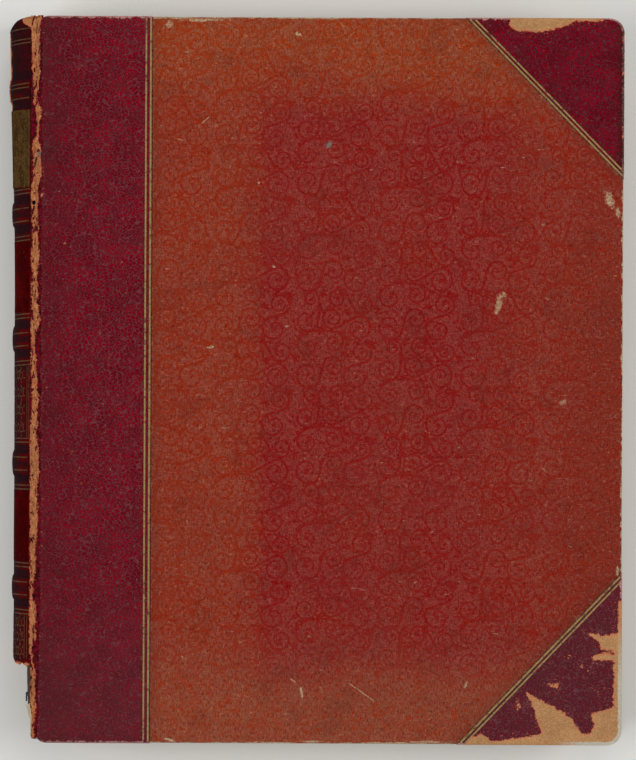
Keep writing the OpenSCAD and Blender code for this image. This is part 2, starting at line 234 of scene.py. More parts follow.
class Graph:
    """A material's nodes."""

    def __init__(self, name):
        self.material = bpy.data.materials.new(name)
        self.material.use_nodes = True
        self.nodes = self.material.node_tree.nodes
        self.links = self.material.node_tree.links
        self.nodes.clear()
        self.colour = None
        self.object_place = self.add("ShaderNodeTexCoord", output="Object")
        self.place = self.vector("SCALE", self.object_place, scale=1 / MM)
        axes = self.add("ShaderNodeSeparateXYZ", {}, {0: self.place}, output=None)
        self.x, self.y, self.z = (Value(self, axes.outputs[i]) for i in range(3))

    def add(self, kind, settings=None, inputs=None, output=0):
        """Adds a node with its settings, then its sockets' values or links."""
        node = self.nodes.new(kind)
        for key, value in (settings or {}).items():
            setattr(node, key, value)
        for key, value in (inputs or {}).items():
            if isinstance(value, Value):
                self.links.new(value.socket, node.inputs[key])
            else:
                node.inputs[key].default_value = value
        return node if output is None else Value(self, node.outputs[output])

    def math(self, operation, *values):
        """A math node on values or numbers."""
        return self.add("ShaderNodeMath", {"operation": operation}, dict(enumerate(values)))

    def vector(self, operation, first, second=None, scale=None):
        """A vector math node, with a second vector or a scale."""
        inputs = {0: first}
        if second is not None:
            inputs[1] = second
        if scale is not None:
            inputs["Scale"] = scale
        return self.add("ShaderNodeVectorMath", {"operation": operation}, inputs)

    def mix(self, share, first, second):
        """First where share is 0, second where it is 1; each a colour or a shader value."""
        first, second = (c if isinstance(c, Value) else (*c, 1) for c in (first, second))
        inputs = {0: share, 6: first, 7: second}
        return self.add("ShaderNodeMix", {"data_type": "RGBA"}, inputs, output=2)

    def lay(self, share, colour):
        """Lays a colour over what is painted so far."""
        self.colour = self.mix(share, self.colour, colour)

    def stretched(self, x, y, z):
        """Places scaled along each axis, for grain that is longer one way."""
        return self.vector("MULTIPLY", self.place, (x, y, z))

    def noise(self, pitch, detail=2, rough=0.55, place=None):
        """Noise from 0 to 1 whose grain is about pitch millimetres."""
        inputs = {"Vector": place or self.place, "Scale": 1 / pitch}
        return self.add("ShaderNodeTexNoise", {}, {**inputs, "Detail": detail, "Roughness": rough})

    def cells(self, pitch, place=None, feature="F1"):
        """Distances in a cell pattern whose cells are about pitch millimetres wide."""
        return self.add("ShaderNodeTexVoronoi", {"feature": feature},
                        {"Vector": place or self.place, "Scale": 1 / pitch})

    def warped(self, pitch, amount):
        """Places pushed about by noise."""
        return self.vector("ADD", self.place, self.shake(pitch, amount))

    def shake(self, pitch, amount):
        """Small pushes about zero, up to half of amount millimetres."""
        inputs = {"Vector": self.place, "Scale": 1 / pitch, "Detail": 1}
        push = self.add("ShaderNodeTexNoise", {}, inputs, output="Color")
        return self.vector("SCALE", self.vector("SUBTRACT", push, (0.5, 0.5, 0.5)), scale=amount)

    def mark(self, x, y, half_length, half_width, turn=0.0):
        """Distance from a mark's middle, 1 at the rim of its ellipse."""
        flat = self.stretched(1, 1, 0)
        at = self.add("ShaderNodeMapping", {"vector_type": "TEXTURE"},
                      {"Vector": flat, "Location": (x, y, 0), "Scale": (half_length, half_width, 1),
                       "Rotation": (0, 0, math.radians(turn))})
        return self.add("ShaderNodeVectorMath", {"operation": "LENGTH"}, {0: at}, output="Value")

    def attribute(self, name):
        """A value that the mesh carries."""
        return self.add("ShaderNodeAttribute", {"attribute_name": name}, output="Fac")

    def finish(self, rough, height=None, depth=0.1, specular=0.3):
        """Principled surface in the painted colour, with a bump that is depth millimetres high."""
        colour = self.colour if isinstance(self.colour, Value) else (*self.colour, 1)
        inputs = {"Base Color": colour, "Roughness": rough, "Specular IOR Level": specular}
        if height is not None:
            bump = {"Height": height, "Distance": depth * MM}
            inputs["Normal"] = self.add("ShaderNodeBump", {}, bump)
        surface = self.add("ShaderNodeBsdfPrincipled", {}, inputs)
        self.add("ShaderNodeOutputMaterial", {}, {"Surface": surface}, output=None)
        return self.material


def colours():
    """The book's main colours by name."""
    group = bpy.context.scene.book_colours
    return {key: list(getattr(group, key)) for key in BookColours.__annotations__}


def darker(colour, share):
    """A colour at a share of its brightness."""
    return [value * share for value in colour]


def size_mm(name):
    """One of the scene's sizes in millimetres."""
    return getattr(bpy.context.scene.book_sizes, name) / MM


def grain_of(graph, pitch=1.5):
    """Distance from the creases between the pebbles of the leather, 0 to about 0.4."""
    flow = graph.add("ShaderNodeMapping", {"vector_type": "POINT"},
                     {"Vector": graph.warped(9, 5), "Rotation": (0, 0, math.radians(-20))})
    place = graph.vector("MULTIPLY", graph.vector("ADD", flow, graph.shake(1.2, 0.6)), (1, 1.5, 1))
    return graph.cells(pitch, place, "DISTANCE_TO_EDGE")


def lay_hide(g, bare, c):
    """Lays bare hide over the leather where bare is above 0, and gives its mask."""
    fray = (g.noise(0.7, 4, 0.75) - 0.5) * 3.0 + (g.noise(3.2, 3) - 0.5) * 2.2
    ragged = bare + fray
    mask = ragged.over(0.0, 0.1)
    speckle = g.noise(0.5, 3, 0.65)
    hide = g.mix(g.noise(8, 3).over(0.5, 0.2), c["hide"], darker(c["hide"], 0.84))
    hide = g.mix(speckle.over(0.56, 0.1) * 0.4, hide, darker(c["hide"], 0.5))
    hide = g.mix(speckle.under(0.42, 0.08) * 0.35, hide, rgb(216, 170, 124))
    hide = g.mix(ragged.under(0.5, 0.4) * 0.8, hide, c["torn_hide"])
    g.lay(mask, hide)
    return mask


def rim_gap_of(graph):
    """Distance in millimetres to the nearest free edge of the covers, round their corners too."""
    across = RIM_RADIUS - (FORE_X - graph.x)
    along = RIM_RADIUS - (HEAD_Y - abs(graph.y))
    bend = graph.math("SQRT", across.most(0) * across.most(0) + along.most(0) * along.most(0))
    return RIM_RADIUS - bend - across.most(along).least(0)


def morocco(name, worn, dusty):
    """Crimson pebbles in creases; with the third flag set, the creases are pale with dust and a
    painted sheen. If worn, hide shows where the mesh is bare.
    """
    c = colours()
    g = Graph(name)
    raised = grain_of(g).over(0.09, 0.06)
    patch = g.noise(9, 4, 0.6) * 0.5 + g.noise(1.1, 2) * 0.5
    broad = g.noise(26, 3)
    low = g.y.under(-40, 80)
    pebble = g.mix(patch.over(0.51, 0.11), c["deep"], c["crimson"])
    pebble = g.mix(low * (0.12 if dusty else 0.85), pebble, rgb(88, 24, 35))
    # The side leather's pale creases are dust and a painted sheen, standing in for light that the
    # creases reflect; the corners' creases are darker
    crease = c["dust"] if dusty else g.mix(low, rgb(88, 26, 38), rgb(96, 54, 58))
    crease = g.mix(broad.over(0.5, 0.16) * 0.4, crease, rgb(88, 38, 42))
    g.colour = g.mix(raised, crease, pebble)
    g.lay(g.noise(7, 4, 0.6).over(0.58, 0.06) * 0.16, rgb(72, 38, 40))
    # Painted highlights: pale pink specks in the creases, from noise that also roughens the bump
    highlight_noise = g.noise(0.5, 3)
    g.lay(highlight_noise.over(0.58, 0.08) * (1 - raised) * 0.4, rgb(128, 74, 76))
    streaks = g.noise(0.9, 4, 0.7, g.stretched(0.6, 0.6, 1))
    streaks += (1.5 - rim_gap_of(g)).most(0) * 0.28
    g.lay(streaks.over(0.74, 0.05) * 0.8, rgb(190, 142, 134))
    specks = g.noise(1.1, 4, 0.6).over(0.73, 0.02) * g.noise(20, 2).over(0.5, 0.06)
    g.lay(specks * 0.7, rgb(170, 112, 84))
    rubbed = slant_of(g).under(0.22, 0.12) * g.noise(1.6, 4, 0.7).over(0.45, 0.1)
    g.lay(rubbed * 0.8, rgb(150, 112, 70))
    height = raised * 0.85 + highlight_noise * 0.15
    rough = 0.6
    if worn and dusty:
        lay_side_shade_and_wear(g, broad)
    if worn:
        mask = lay_bare_places(g, c, dusty)
        height = height * (1 - mask) + mask * (g.noise(0.35, 3) * 0.9 - 1.0)
        rough = 0.6 + mask * 0.25
    return g.finish(rough, height, depth=0.3, specular=0.025)


def lay_side_shade_and_wear(g, broad):
    """Side leather: painted shade beside the joint, duller at the tail, crumbs of hide along its
    edge.
    """
    inward = g.x - EDGE_X
    # Painted shade beside the joint: darker near the head, and darker in a broad band along the
    # spine edge
    g.lay(inward.under(6, 5) * g.y.over(76, 24) * broad.over(0.4, 0.2) * 0.4, rgb(74, 34, 36))
    g.lay(inward.under(10, 16) * 0.3, rgb(60, 20, 22))
    g.lay(g.y.under(-100, 30) * 0.28, rgb(74, 44, 48))
    crumbs = g.noise(0.8, 4, 0.7).over(0.63, 0.03) * inward.under(1.6, 1.0)
    curl = g.mark(EDGE_X + 0.5, 70.6, 1.7, 0.6, 50).under(0.8, 0.3)
    g.lay(crumbs.most(curl) * 0.85, rgb(188, 122, 90))


def lay_bare_places(g, c, dusty):
    """Darker along the fore-edge at the head, crumbs, bare hide and the board's layers at the tail;
    gives the mask of the hide.
    """
    outward = FORE_X - g.x
    # Darker along the fore-edge near the head
    g.lay((3.6 - outward).most(0) * g.y.over(78, 10) * 0.24, rgb(48, 24, 20))
    chips = g.y.over(76, 3) * (1.2 - outward) + (g.noise(2.6, 3) - 0.6) * 3
    bare = g.attribute("bare")
    flakes = g.noise(0.8, 4, 0.7).over(0.63, 0.03) * bare.over(-2.4, 1.2)
    g.lay(flakes * (0 if dusty else 0.8), c["torn_hide"])
    mask = lay_hide(g, bare.most(chips * 0.7 - 0.7), c)
    layers = (g.noise(1.4, 4, 0.65) - 0.5) * 1.6 + (1.9 - rim_gap_of(g))
    board = layers.over(0.5, 0.2) * g.y.under(-104, 14) * g.x.over(FORE_X - 20, 8)
    g.lay(board * 0.9, g.mix(g.noise(0.8, 2), rgb(150, 142, 124), rgb(208, 203, 186)))
    return mask


def corner_lines(x, y):
    """Distances past the slanting edges of the two corners, above 0 on the cloth."""
    across = FORE_X - x
    distances = []
    for corner, along in ((HEAD_CORNER, HEAD_Y - y), (TAIL_CORNER, HEAD_Y + y)):
        wide, high = FORE_X - corner[0], HEAD_Y - abs(corner[1])
        reach = math.hypot(wide, high)
        distances.append(across * (high / reach) + along * (wide / reach) - wide * high / reach)
    return distances


def slant_of(graph):
    """Distance in millimetres from the slanting corner edges and the side leather's edge."""
    head, tail = corner_lines(graph.x, graph.y)
    return abs(head).least(abs(tail)).least(abs(graph.x - SIDE_X))


def fade_of(graph):
    """Share of sun fade: a frame round the red middle of the cloth."""
    wander = (graph.noise(18, 3) - 0.5) * 16
    x, y = graph.x, graph.y
    left = (x + wander * 0.1).under(-21, 2.5) * 0.22 + (x + wander * 0.6).under(-27, 11) * 0.28
    head = (y + wander + x * 0.06).over(113, 17)
    right = (x + wander * 1.6).over(84, 40) * 0.36
    tail = (y + wander).under(-116, 13) * 0.75
    blotch = graph.noise(40, 3).over(0.5, 0.16) * 0.14
    return 1 - (1 - left) * (1 - head) * (1 - right) * (1 - tail) * (1 - blotch)


CLOTH_MARKS = (
    # x, y, half length, half width, turn, strength
    (-7.2, 133.3, 1.5, 0.9, -15, 0.95),
    (-43.6, 99.6, 2.6, 0.3, 42, 0.7),
    (-53.1, 92.6, 1.8, 0.25, -10, 0.6),
    (-22.4, 76.1, 0.6, 0.6, 0, 0.8),
    (70.2, 29.8, 1.3, 4.6, -14, 0.75),
    (72.4, 33.6, 0.9, 1.4, 30, 0.8),
    (-8.5, -115.4, 1.6, 0.35, -35, 0.8),
    (-5.0, -120.4, 0.5, 2.4, 10, 0.75),
    (18.5, -120.2, 6.8, 0.25, -35, 0.65),
    (38.5, -77.7, 1.1, 0.4, 30, 0.8),
    (58.2, -117.0, 0.6, 1.6, -20, 0.7),
    (95.0, -8.0, 2.2, 1.0, 10, 0.45),
    (88.0, -34.0, 1.6, 0.5, -40, 0.5),
    (112.6, 70.5, 1.8, 4.2, 24, 0.95),
    (116.0, 65.0, 0.9, 2.8, 5, 0.9),
    (116.4, -72.8, 0.6, 2.0, 0, 0.9),
    (-45.0, 138.6, 9.0, 0.7, 0, 0.8),
    (-57.0, 137.0, 2.0, 1.2, 60, 0.6),
    (-55.5, -138.8, 3.0, 0.8, -20, 0.9),
    (-1.0, -139.0, 6.0, 0.5, 0, 0.7),
    (44.0, -139.0, 8.0, 0.5, 0, 0.7),
)

CLOTH_SCUFFS = (
    # x, y, half length, half width, turn
    (-34.0, 112.0, 9.0, 4.0, 35),
    (-28.0, 101.0, 8.0, 4.0, -20),
    (-45.0, 97.0, 7.0, 3.0, 42),
    (-55.0, 92.0, 6.0, 2.5, -10),
    (72.0, 31.0, 4.0, 6.0, -14),
    (92.0, -22.0, 8.0, 20.0, 0),
    (0.0, -118.0, 16.0, 6.0, -20),
    (62.0, -104.0, 20.0, 12.0, 40),
    (36.0, 121.0, 40.0, 6.0, 0),
)
GREY_SPOT = (4.6, 90.7, 1.7, 1.0, 50)


def scroll_cloth(name, front, line):
    """Book cloth; line gives the finish of its raised scrolls."""
    c = colours()
    g = Graph(name)
    fade = fade_of(g)

    def faded(red, orange):
        """A colour that turns to another where the sun has faded the cloth."""
        return g.mix(fade, red, orange)
    ground = faded(c["cloth"], c["faded_cloth"])
    scrolls = faded(c["cloth_line"], c["faded_line"])
    g.colour = scrolls if line else ground
    g.lay(g.noise(34, 3).over(0.55, 0.12) * 0.35, faded(rgb(112, 34, 34), rgb(118, 50, 32)))
    g.lay(g.x.over(96, 20) * g.y.under(60, 50) * 0.55, rgb(106, 36, 26))
    g.lay(g.y.under(-108, 16) * 0.5, rgb(128, 72, 54))
    weft = g.noise(0.5, 2, 0.6, g.stretched(0.3, 1, 1))
    weave = g.noise(0.5, 2, 0.6, g.stretched(1, 0.3, 1))
    pale = weft.over(0.57, 0.08) * (0.15 if line else 0.55)
    g.lay(pale, faded(rgb(152, 72, 62), rgb(166, 94, 68)))
    g.lay(weave.under(0.43, 0.07) * 0.7, faded(rgb(88, 4, 8), rgb(98, 20, 0)))
    if line:
        g.lay(g.noise(0.9, 4, 0.7).over(0.5, 0.12) * 0.5, ground)
    else:
        tendrils = abs(g.noise(4.4, 2, 0.45) - 0.46).under(0.018, 0.014)
        tendrils = tendrils.most(abs(g.noise(3.4, 2, 0.45) - 0.55).under(0.02, 0.016))
        tendrils = tendrils * g.noise(2.6, 2).over(0.5, 0.04)
        g.lay(tendrils * (0.7 + fade * 0.3), scrolls)
        glints = abs(g.noise(3.9, 2, 0.45) - 0.5).under(0.01, 0.01)
        glints = glints * g.noise(1.8, 2).over(0.56, 0.04)
        g.lay(glints * (0.5 + fade * 0.3), faded(rgb(160, 84, 74), rgb(170, 104, 72)))
    threads = g.mix(g.noise(0.7, 3).over(0.5, 0.15), c["thread"], rgb(150, 112, 80))
    g.lay(cloth_wear(g, front) * (0.7 if line else 0.9), threads)
    soil = g.noise(11, 4, 0.6).over(0.6, 0.09) * 0.2
    g.lay(soil.most(slant_of(g).under(3, 3.5) * 0.26), rgb(74, 34, 24))
    if front:
        spot = g.mark(*GREY_SPOT) + (g.noise(0.8, 4, 0.7) - 0.5)
        g.lay(spot.under(0.8, 0.2) * 0.8, rgb(100, 112, 100))
    return g.finish(0.7 if line else 0.8, weft + weave, depth=0.12, specular=0.03)


def cloth_wear(g, front):
    """Share of bare threads: along the edges, in specks and in the front's marks and scuffs."""
    edge = g.noise(2.2, 4, 0.65, g.stretched(0.35, 1, 1)) + (1.2 - rim_gap_of(g)).most(0) * 0.32
    worn = edge.over(0.72, 0.05)
    worn = worn.most(g.noise(0.9, 4, 0.6).over(0.7, 0.02) * g.noise(24, 2).over(0.5, 0.07) * 0.6)
    worn = worn.most(slant_of(g).under(0.5, 0.5) * g.noise(1.5, 4, 0.7).over(0.57, 0.05) * 0.55)
    if not front:
        return worn
    fray = (g.noise(0.8, 4, 0.7) - 0.5) * 1.6 + (g.noise(2.8, 3) - 0.5) * 1.6
    for *ellipse, strength in CLOTH_MARKS:
        worn = worn.most((g.mark(*ellipse) + fray).under(0.8, 0.22) * strength)
    dots = g.noise(0.7, 4, 0.75).over(0.64, 0.03)
    for scuff in CLOTH_SCUFFS:
        worn = worn.most(g.mark(*scuff).under(0.8, 0.5) * dots * 0.65)
    return worn


def gold(name, leaf, base, on_spine=False):
    """Dull gold leaf, rubbed through to the base in places, and along the ridge of the spine."""
    g = Graph(name)
    gone = g.noise(2.4, 5, 0.72).over(0.56 if on_spine else 0.58, 0.07)
    if on_spine:
        gone = gone.most(abs(g.z - MID_Z).under(9.5, 2) * 0.9)
    g.colour = g.mix(g.noise(1.0, 3).over(0.5, 0.2) * 0.6, leaf, darker(leaf, 0.5))
    g.lay(gone * 0.8, base)
    return g.finish(0.6, g.noise(0.5, 2), depth=0.04, specular=0.1)


def spine_leather(name):
    """Dark smooth leather, red beside the gold lines, with painted shade on the bands' flanks and
    towards the ridge; rubbed to hide at cap, limb and torn end.
    """
    c = {**colours(), "hide": rgb(172, 110, 66)}
    g = Graph(name)
    from_band = g.math("PINGPONG", g.y - BAND_FIRST, BAND_PITCH / 2)
    side = abs(g.z - MID_Z)
    # Red shows beside the gold lines and in the panels; on the bands' flanks the leather stays
    # dark, a painted shade beside the raised bands
    beside = abs(from_band - BAND_LINE).under(1.3, 0.5)
    beside = beside.most(abs(from_band - PANEL_LINE - 0.8).under(1.8, 0.5))
    panel = (from_band.over(PANEL_LINE + 3, 1.5) * 0.85).most(from_band.under(1.6, 0.6) * 0.3)
    cloudy = g.noise(6, 4, 0.6, g.stretched(1, 1.7, 0.6))
    red = beside.most(panel) * cloudy.over(0.4, 0.14) * (1 - g.y.over(115, 2) * 0.7)
    g.colour = g.mix(red, c["spine"], c["spine_red"])
    g.lay(g.noise(2.3, 4).over(0.58, 0.08) * 0.5, rgb(24, 6, 8))
    g.lay(g.noise(0.8, 4, 0.65).over(0.64, 0.04) * 0.35, rgb(96, 34, 28))
    # Painted shade: the leather darkens towards the ridge, where it faces sideways
    g.lay(side.under(12.5, 3) * 0.7, rgb(28, 9, 12))
    limb = (6.6 - side).least(3) * 0.5 - g.y.under(103, 4) * 3 - g.y.over(135, 2) * 3
    torn = (tear_line(g) + 1.5 - g.y) * 0.9
    cap = (g.y - (HEAD_Y - 1.6) + (g.z - MID_Z - 14) * 1.1) * 0.8
    rubs = g.noise(30, 2).over(0.5, 0.1) * 0.7 - 1.1
    rubs = rubs.most(from_band.under(5, 0.5) * side.under(11, 2) * 1.2 - 1.9)
    bare = cap.most(torn).most(limb).most(rubs) - 0.6
    mask = lay_hide(g, bare, c)
    height = g.noise(1.2, 4, 0.6) * (1 - mask) + g.noise(0.4, 2) * 0.3
    return g.finish(0.7 + mask * 0.15, height, depth=0.14, specular=0.015)


def tear_line(graph):
    """Height in millimetres of the torn end of the spine leather at each place."""
    return (MID_Z + 6 - graph.z).most(0) * 0.35 + (TORN_END - 1)


def joint_hide(name):
    """Torn joint leather: bare hide between ragged edges of crimson."""
    c = {**colours(), "hide": rgb(168, 104, 62), "torn_hide": rgb(176, 82, 58)}
    g = Graph(name)
    g.colour = g.mix(g.noise(1.4, 4).over(0.5, 0.12), rgb(46, 4, 8), rgb(100, 4, 22))
    g.lay(g.noise(0.6, 3).over(0.62, 0.05) * 0.5, c["dust"])
    splits = g.noise(1, 3, 0.6, g.stretched(0.8, 0.28, 1)).over(0.6, 0.04)
    broken = 0
    for middle, half in JOINT_ISLANDS:
        broken = abs(g.y - middle).under(half, 2).most(broken)
    splits = splits.most(broken * g.noise(1.0, 4, 0.7, g.stretched(1, 0.36, 1)).over(0.55, 0.04))
    mask = lay_hide(g, g.attribute("bare") - splits * 3, c)
    fibres = g.noise(0.8, 4, 0.7, g.stretched(1, 0.35, 1))
    g.lay(fibres.over(0.56, 0.08) * mask * 0.6, rgb(104, 52, 32))
    g.lay(fibres.under(0.4, 0.06) * mask * 0.5, rgb(206, 140, 98))
    worm = g.mark(EDGE_X - 2.2, 68.0, 0.75, 0.9).under(0.9, 0.1)
    slot = g.mark(EDGE_X - 1.6, 83.6, 0.45, 2.2, -12).under(0.9, 0.15)
    crack = g.mark(EDGE_X - 1.2, 135.6, 0.3, 3.2, -8).under(0.9, 0.2)
    g.lay(worm.most(slot.most(crack * 0.8) * 0.85), rgb(14, 8, 6))
    grey = g.mark(EDGE_X - 0.4, 86.8, 1.2, 0.9, 30).under(0.9, 0.3)
    g.lay(grey * 0.6, rgb(120, 104, 92))
    height = mask * 0.4 + fibres * 0.8 - worm * 3 - slot * 2
    return g.finish(0.82, height, depth=0.4, specular=0.04)


def label_leather(name, gilt):
    """Pasted label, smooth, with dull gilding or plain."""
    c = colours()
    g = Graph(name)
    if gilt:
        streak = g.noise(3.2, 5, 0.7, g.stretched(1, 0.5, 0.7))
        g.colour = g.mix(streak.over(0.5, 0.1), c["label"], rgb(80, 55, 26))
        g.lay(g.noise(0.9, 4, 0.7).over(0.56, 0.05) * 0.7, rgb(24, 15, 9))
        fleck = g.noise(0.7, 4, 0.7, g.stretched(1, 0.6, 1)).over(0.62, 0.05)
        g.lay(fleck * 0.55, rgb(134, 108, 58))
    else:
        g.colour = g.mix(g.noise(7, 4).over(0.55, 0.14), c["red_label"], rgb(72, 0, 2))
        g.lay(g.noise(1.6, 4).over(0.6, 0.06) * 0.6, rgb(20, 4, 4))
        g.lay(g.noise(0.9, 4, 0.7).over(0.66, 0.02) * 0.5, rgb(112, 70, 60))
    return g.finish(0.7, g.noise(1.2, 3), depth=0.06, specular=0.005)


def page_edges(name):
    """Aged paper whose leaves show as fine lines on the cut edges, and not on the outer leaves."""
    c = colours()
    g = Graph(name)
    cut = abs(g.z - MID_Z).under(LINING_Z - MID_Z - 0.65, 0.1)
    leaves = g.noise(1, 4, 0.7, g.stretched(0.02, 0.02, 5.0)) * cut
    thick = g.noise(1, 2, 0.5, g.stretched(0.008, 0.008, 0.55)) * cut
    g.colour = g.mix(leaves.over(0.5, 0.2), c["paper"], darker(c["paper"], 0.62))
    g.lay(thick.over(0.55, 0.15) * 0.4, rgb(150, 122, 82))
    g.lay(g.noise(34, 4, 0.6).over(0.55, 0.15) * 0.16, rgb(166, 132, 84))
    g.lay(g.cells(19, g.warped(6, 5)).under(0.1, 0.06) * 0.4, rgb(146, 96, 52))
    return g.finish(0.85, leaves + thick * 0.5, depth=0.22, specular=0.15)


def plain_paper(name, key="lining"):
    """Stained paper with brown spots, and painted shade of the turn-ins that darkens it towards the
    covers' edges.
    """
    g = Graph(name)
    g.colour = g.mix(g.noise(40, 4, 0.6).over(0.5, 0.2) * 0.5, colours()[key], rgb(190, 164, 118))
    # Painted shade of the turn-ins, darker towards the covers' edges
    g.lay((14 - rim_gap_of(g)).most(0) / 14 * 0.4, rgb(168, 132, 84))
    g.lay(g.cells(23, g.warped(6, 5)).under(0.09, 0.05) * 0.5, rgb(156, 104, 58))
    return g.finish(0.86, g.noise(0.5, 3), depth=0.03, specular=0.15)


def grey_board(name):
    """Millboard or card whose layers show on its edges."""
    g = Graph(name)
    layers = g.noise(1, 3, 0.6, g.stretched(0.05, 0.05, 2.4))
    g.colour = g.mix(layers.over(0.5, 0.2), colours()["board"], rgb(120, 106, 84))
    return g.finish(0.9, layers + g.noise(0.4, 2) * 0.4, depth=0.15, specular=0.15)


def striped_silk(name):
    """Blue and white thread wound round a core."""
    g = Graph(name)
    wave = g.math("SINE", (g.z - MID_Z) * (2 * math.pi / 3.2))
    turns = g.math("SINE", (g.z + g.y * 0.4) * (2 * math.pi / 0.45))
    g.colour = g.mix(wave.over(0, 0.15), rgb(196, 186, 160), colours()["blue"])
    g.lay(g.noise(1.2, 3).over(0.6, 0.1) * 0.5, rgb(96, 78, 56))
    return g.finish(0.6, turns, depth=0.15, specular=0.3)


def coarse_weave(name, base, pale=0.3):
    """Coarse cloth in dark glue; pale is how much its threads show."""
    g = Graph(name)
    across = g.math("SINE", g.y * (2 * math.pi / 0.9))
    along = g.math("SINE", g.z * (2 * math.pi / 0.9))
    grid = across.over(0.3, 0.3).most(along.over(0.3, 0.3))
    g.colour = g.mix(g.noise(5, 4).over(0.5, 0.2) * 0.6, base, rgb(60, 42, 28))
    g.lay(grid * pale, rgb(176, 156, 118))
    return g.finish(0.88, grid, depth=0.12, specular=0.15)


def thread_finish(name, base):
    """Matt twisted thread."""
    g = Graph(name)
    g.colour = g.mix(g.noise(0.6, 2) * 0.5, base, darker(base, 0.5))
    return g.finish(0.8, g.noise(0.3, 2), depth=0.05, specular=0.2)


# Mesh helpers

def select_only(piece):
    """Makes a piece the only selected and the active one."""
    bpy.ops.object.select_all(action="DESELECT")
    piece.select_set(True)
    bpy.context.view_layer.objects.active = piece


@contextmanager
def editing(piece, mode="VERT"):
    """Edit mode with nothing selected; yields the edit mesh."""
    select_only(piece)
    bpy.ops.object.mode_set(mode="EDIT")
    bpy.ops.mesh.select_mode(type=mode)
    bpy.ops.mesh.select_all(action="DESELECT")
    try:
        yield bmesh.from_edit_mesh(piece.data)
    finally:
        bpy.ops.object.mode_set(mode="OBJECT")


def finish_piece(piece, body, slot, material, *nodes, smooth=None):
    """Gives a finished mesh its material, shading and body, and hides the CAD nodes that it stands
    for.
    """
    piece.data.materials.clear()
    piece.data.materials.append(material)
    select_only(piece)
    if smooth is None:
        bpy.ops.object.shade_smooth()
    else:
        bpy.ops.object.shade_smooth_by_angle(angle=math.radians(smooth))
    if body:
        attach(piece, body)
    if nodes:
        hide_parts(*nodes)
    return piece


def dress_node(name, material):
    """A CAD node that stays gets its material."""
    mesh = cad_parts[name].data
    mesh.materials.clear()
    mesh.materials.append(material)


def add_object(name, data):
    """Puts new data into the scene as an object."""
    added = bpy.data.objects.new(name, data)
    bpy.context.scene.collection.objects.link(added)
    return added


def rim_gap(x, y, grow=LEATHER):
    """Distance in millimetres inside the covers' outline, negative outside."""
    inset = LEATHER - grow
    across = FORE_X - inset - x
    along = HEAD_Y - inset - abs(y)
    radius = RIM_RADIUS - inset
    if across < radius and along < radius:
        return radius - math.hypot(radius - across, radius - along)
    return min(across, along)


def inside_outline(point, outline):
    """Signed distance in millimetres to a closed outline, positive inside."""
    x, y = point
    nearest, inside = 1e9, False
    for (ax, ay), (bx, by) in zip(outline, outline[1:] + outline[:1]):
        dx, dy = bx - ax, by - ay
        t = max(0, min(1, ((x - ax) * dx + (y - ay) * dy) / (dx * dx + dy * dy)))
        nearest = min(nearest, math.hypot(x - ax - t * dx, y - ay - t * dy))
        if (ay > y) != (by > y) and x < (bx - ax) * (y - ay) / (by - ay) + ax:
            inside = not inside
    return nearest if inside else -nearest


def cad_copy(node, name):
    """A merged copy of a CAD node's mesh with its flat faces joined."""
    piece = add_object(name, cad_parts[node].data.copy())
    with editing(piece):
        bpy.ops.mesh.select_all(action="SELECT")
        bpy.ops.mesh.remove_doubles(threshold=0.002 * MM)
        bpy.ops.mesh.dissolve_limited(angle_limit=math.radians(0.5))
    return piece


def soften_rim(piece, grow, width):
    """Bevels the long edges that run round the outside of a cover."""
    with editing(piece, "EDGE") as mesh:
        for edge in mesh.edges:
            a, b = (v.co / MM for v in edge.verts)
            on_rim = all(abs(rim_gap(p.x, p.y, grow)) < 0.06 for p in (a, b))
            level = abs(a.z - b.z) < 0.01 and (a - b).length > 0.05
            sharp = len(edge.link_faces) == 2 and edge.calc_face_angle(0) > 1.2
            edge.select = on_rim and level and sharp
        mesh.select_flush_mode()
        bmesh.update_edit_mesh(piece.data)
        bpy.ops.mesh.bevel(offset=width * MM, segments=3, affect="EDGES", clamp_overlap=True)


def slice_grid(piece, pitch):
    """Cuts a mesh into a grid, so that it can carry values over its faces."""
    places = [[v.co[axis] / MM for v in piece.data.vertices] for axis in range(2)]
    with editing(piece):
        for values, normal in zip(places, (Vector((1, 0, 0)), Vector((0, 1, 0)))):
            low, span = min(values), max(values) - min(values)
            count = int(span / pitch)
            for i in range(1, count):
                at = normal * ((low + span * i / count) * MM)
                bpy.ops.mesh.select_all(action="SELECT")
                bpy.ops.mesh.bisect(plane_co=at, plane_no=normal)


def set_bare(piece, bare_at):
    """Stores the signed distance to bare hide at each vertex."""
    layer = piece.data.attributes.new("bare", "FLOAT", "POINT")
    layer.data.foreach_set("value", [bare_at(v.co / MM) for v in piece.data.vertices])


def thicken(piece, thick):
    """Gives a sheet a thickness in millimetres, away from its normals."""
    select_only(piece)
    solid = piece.modifiers.new("Thickness", "SOLIDIFY")
    solid.thickness = thick * MM
    solid.offset = -1
    bpy.ops.object.modifier_apply(modifier=solid.name)


def sheet(name, across, along, to_place):
    """A grid of faces placed by a rule on 0 to 1 both ways."""
    bpy.ops.object.select_all(action="DESELECT")
    bpy.ops.mesh.primitive_grid_add(x_subdivisions=across, y_subdivisions=along, size=2)
    piece = bpy.context.object
    piece.name = name
    for vertex in piece.data.vertices:
        vertex.co = Vector(to_place((vertex.co.x + 1) / 2, (vertex.co.y + 1) / 2)) * MM
    return piece


def away_from_book(front):
    """A rule for face_out: up for the front cover, down for the rear one."""
    return lambda centre: Vector((0, 0, 1 if front else -1))


def face_out(piece, outwards):
    """Turns all faces over if most point against the given rule."""
    score = sum(f.normal.dot(outwards(f.center)) * f.area for f in piece.data.polygons)
    if score < 0:
        with editing(piece):
            bpy.ops.mesh.select_all(action="SELECT")
            bpy.ops.mesh.flip_normals()


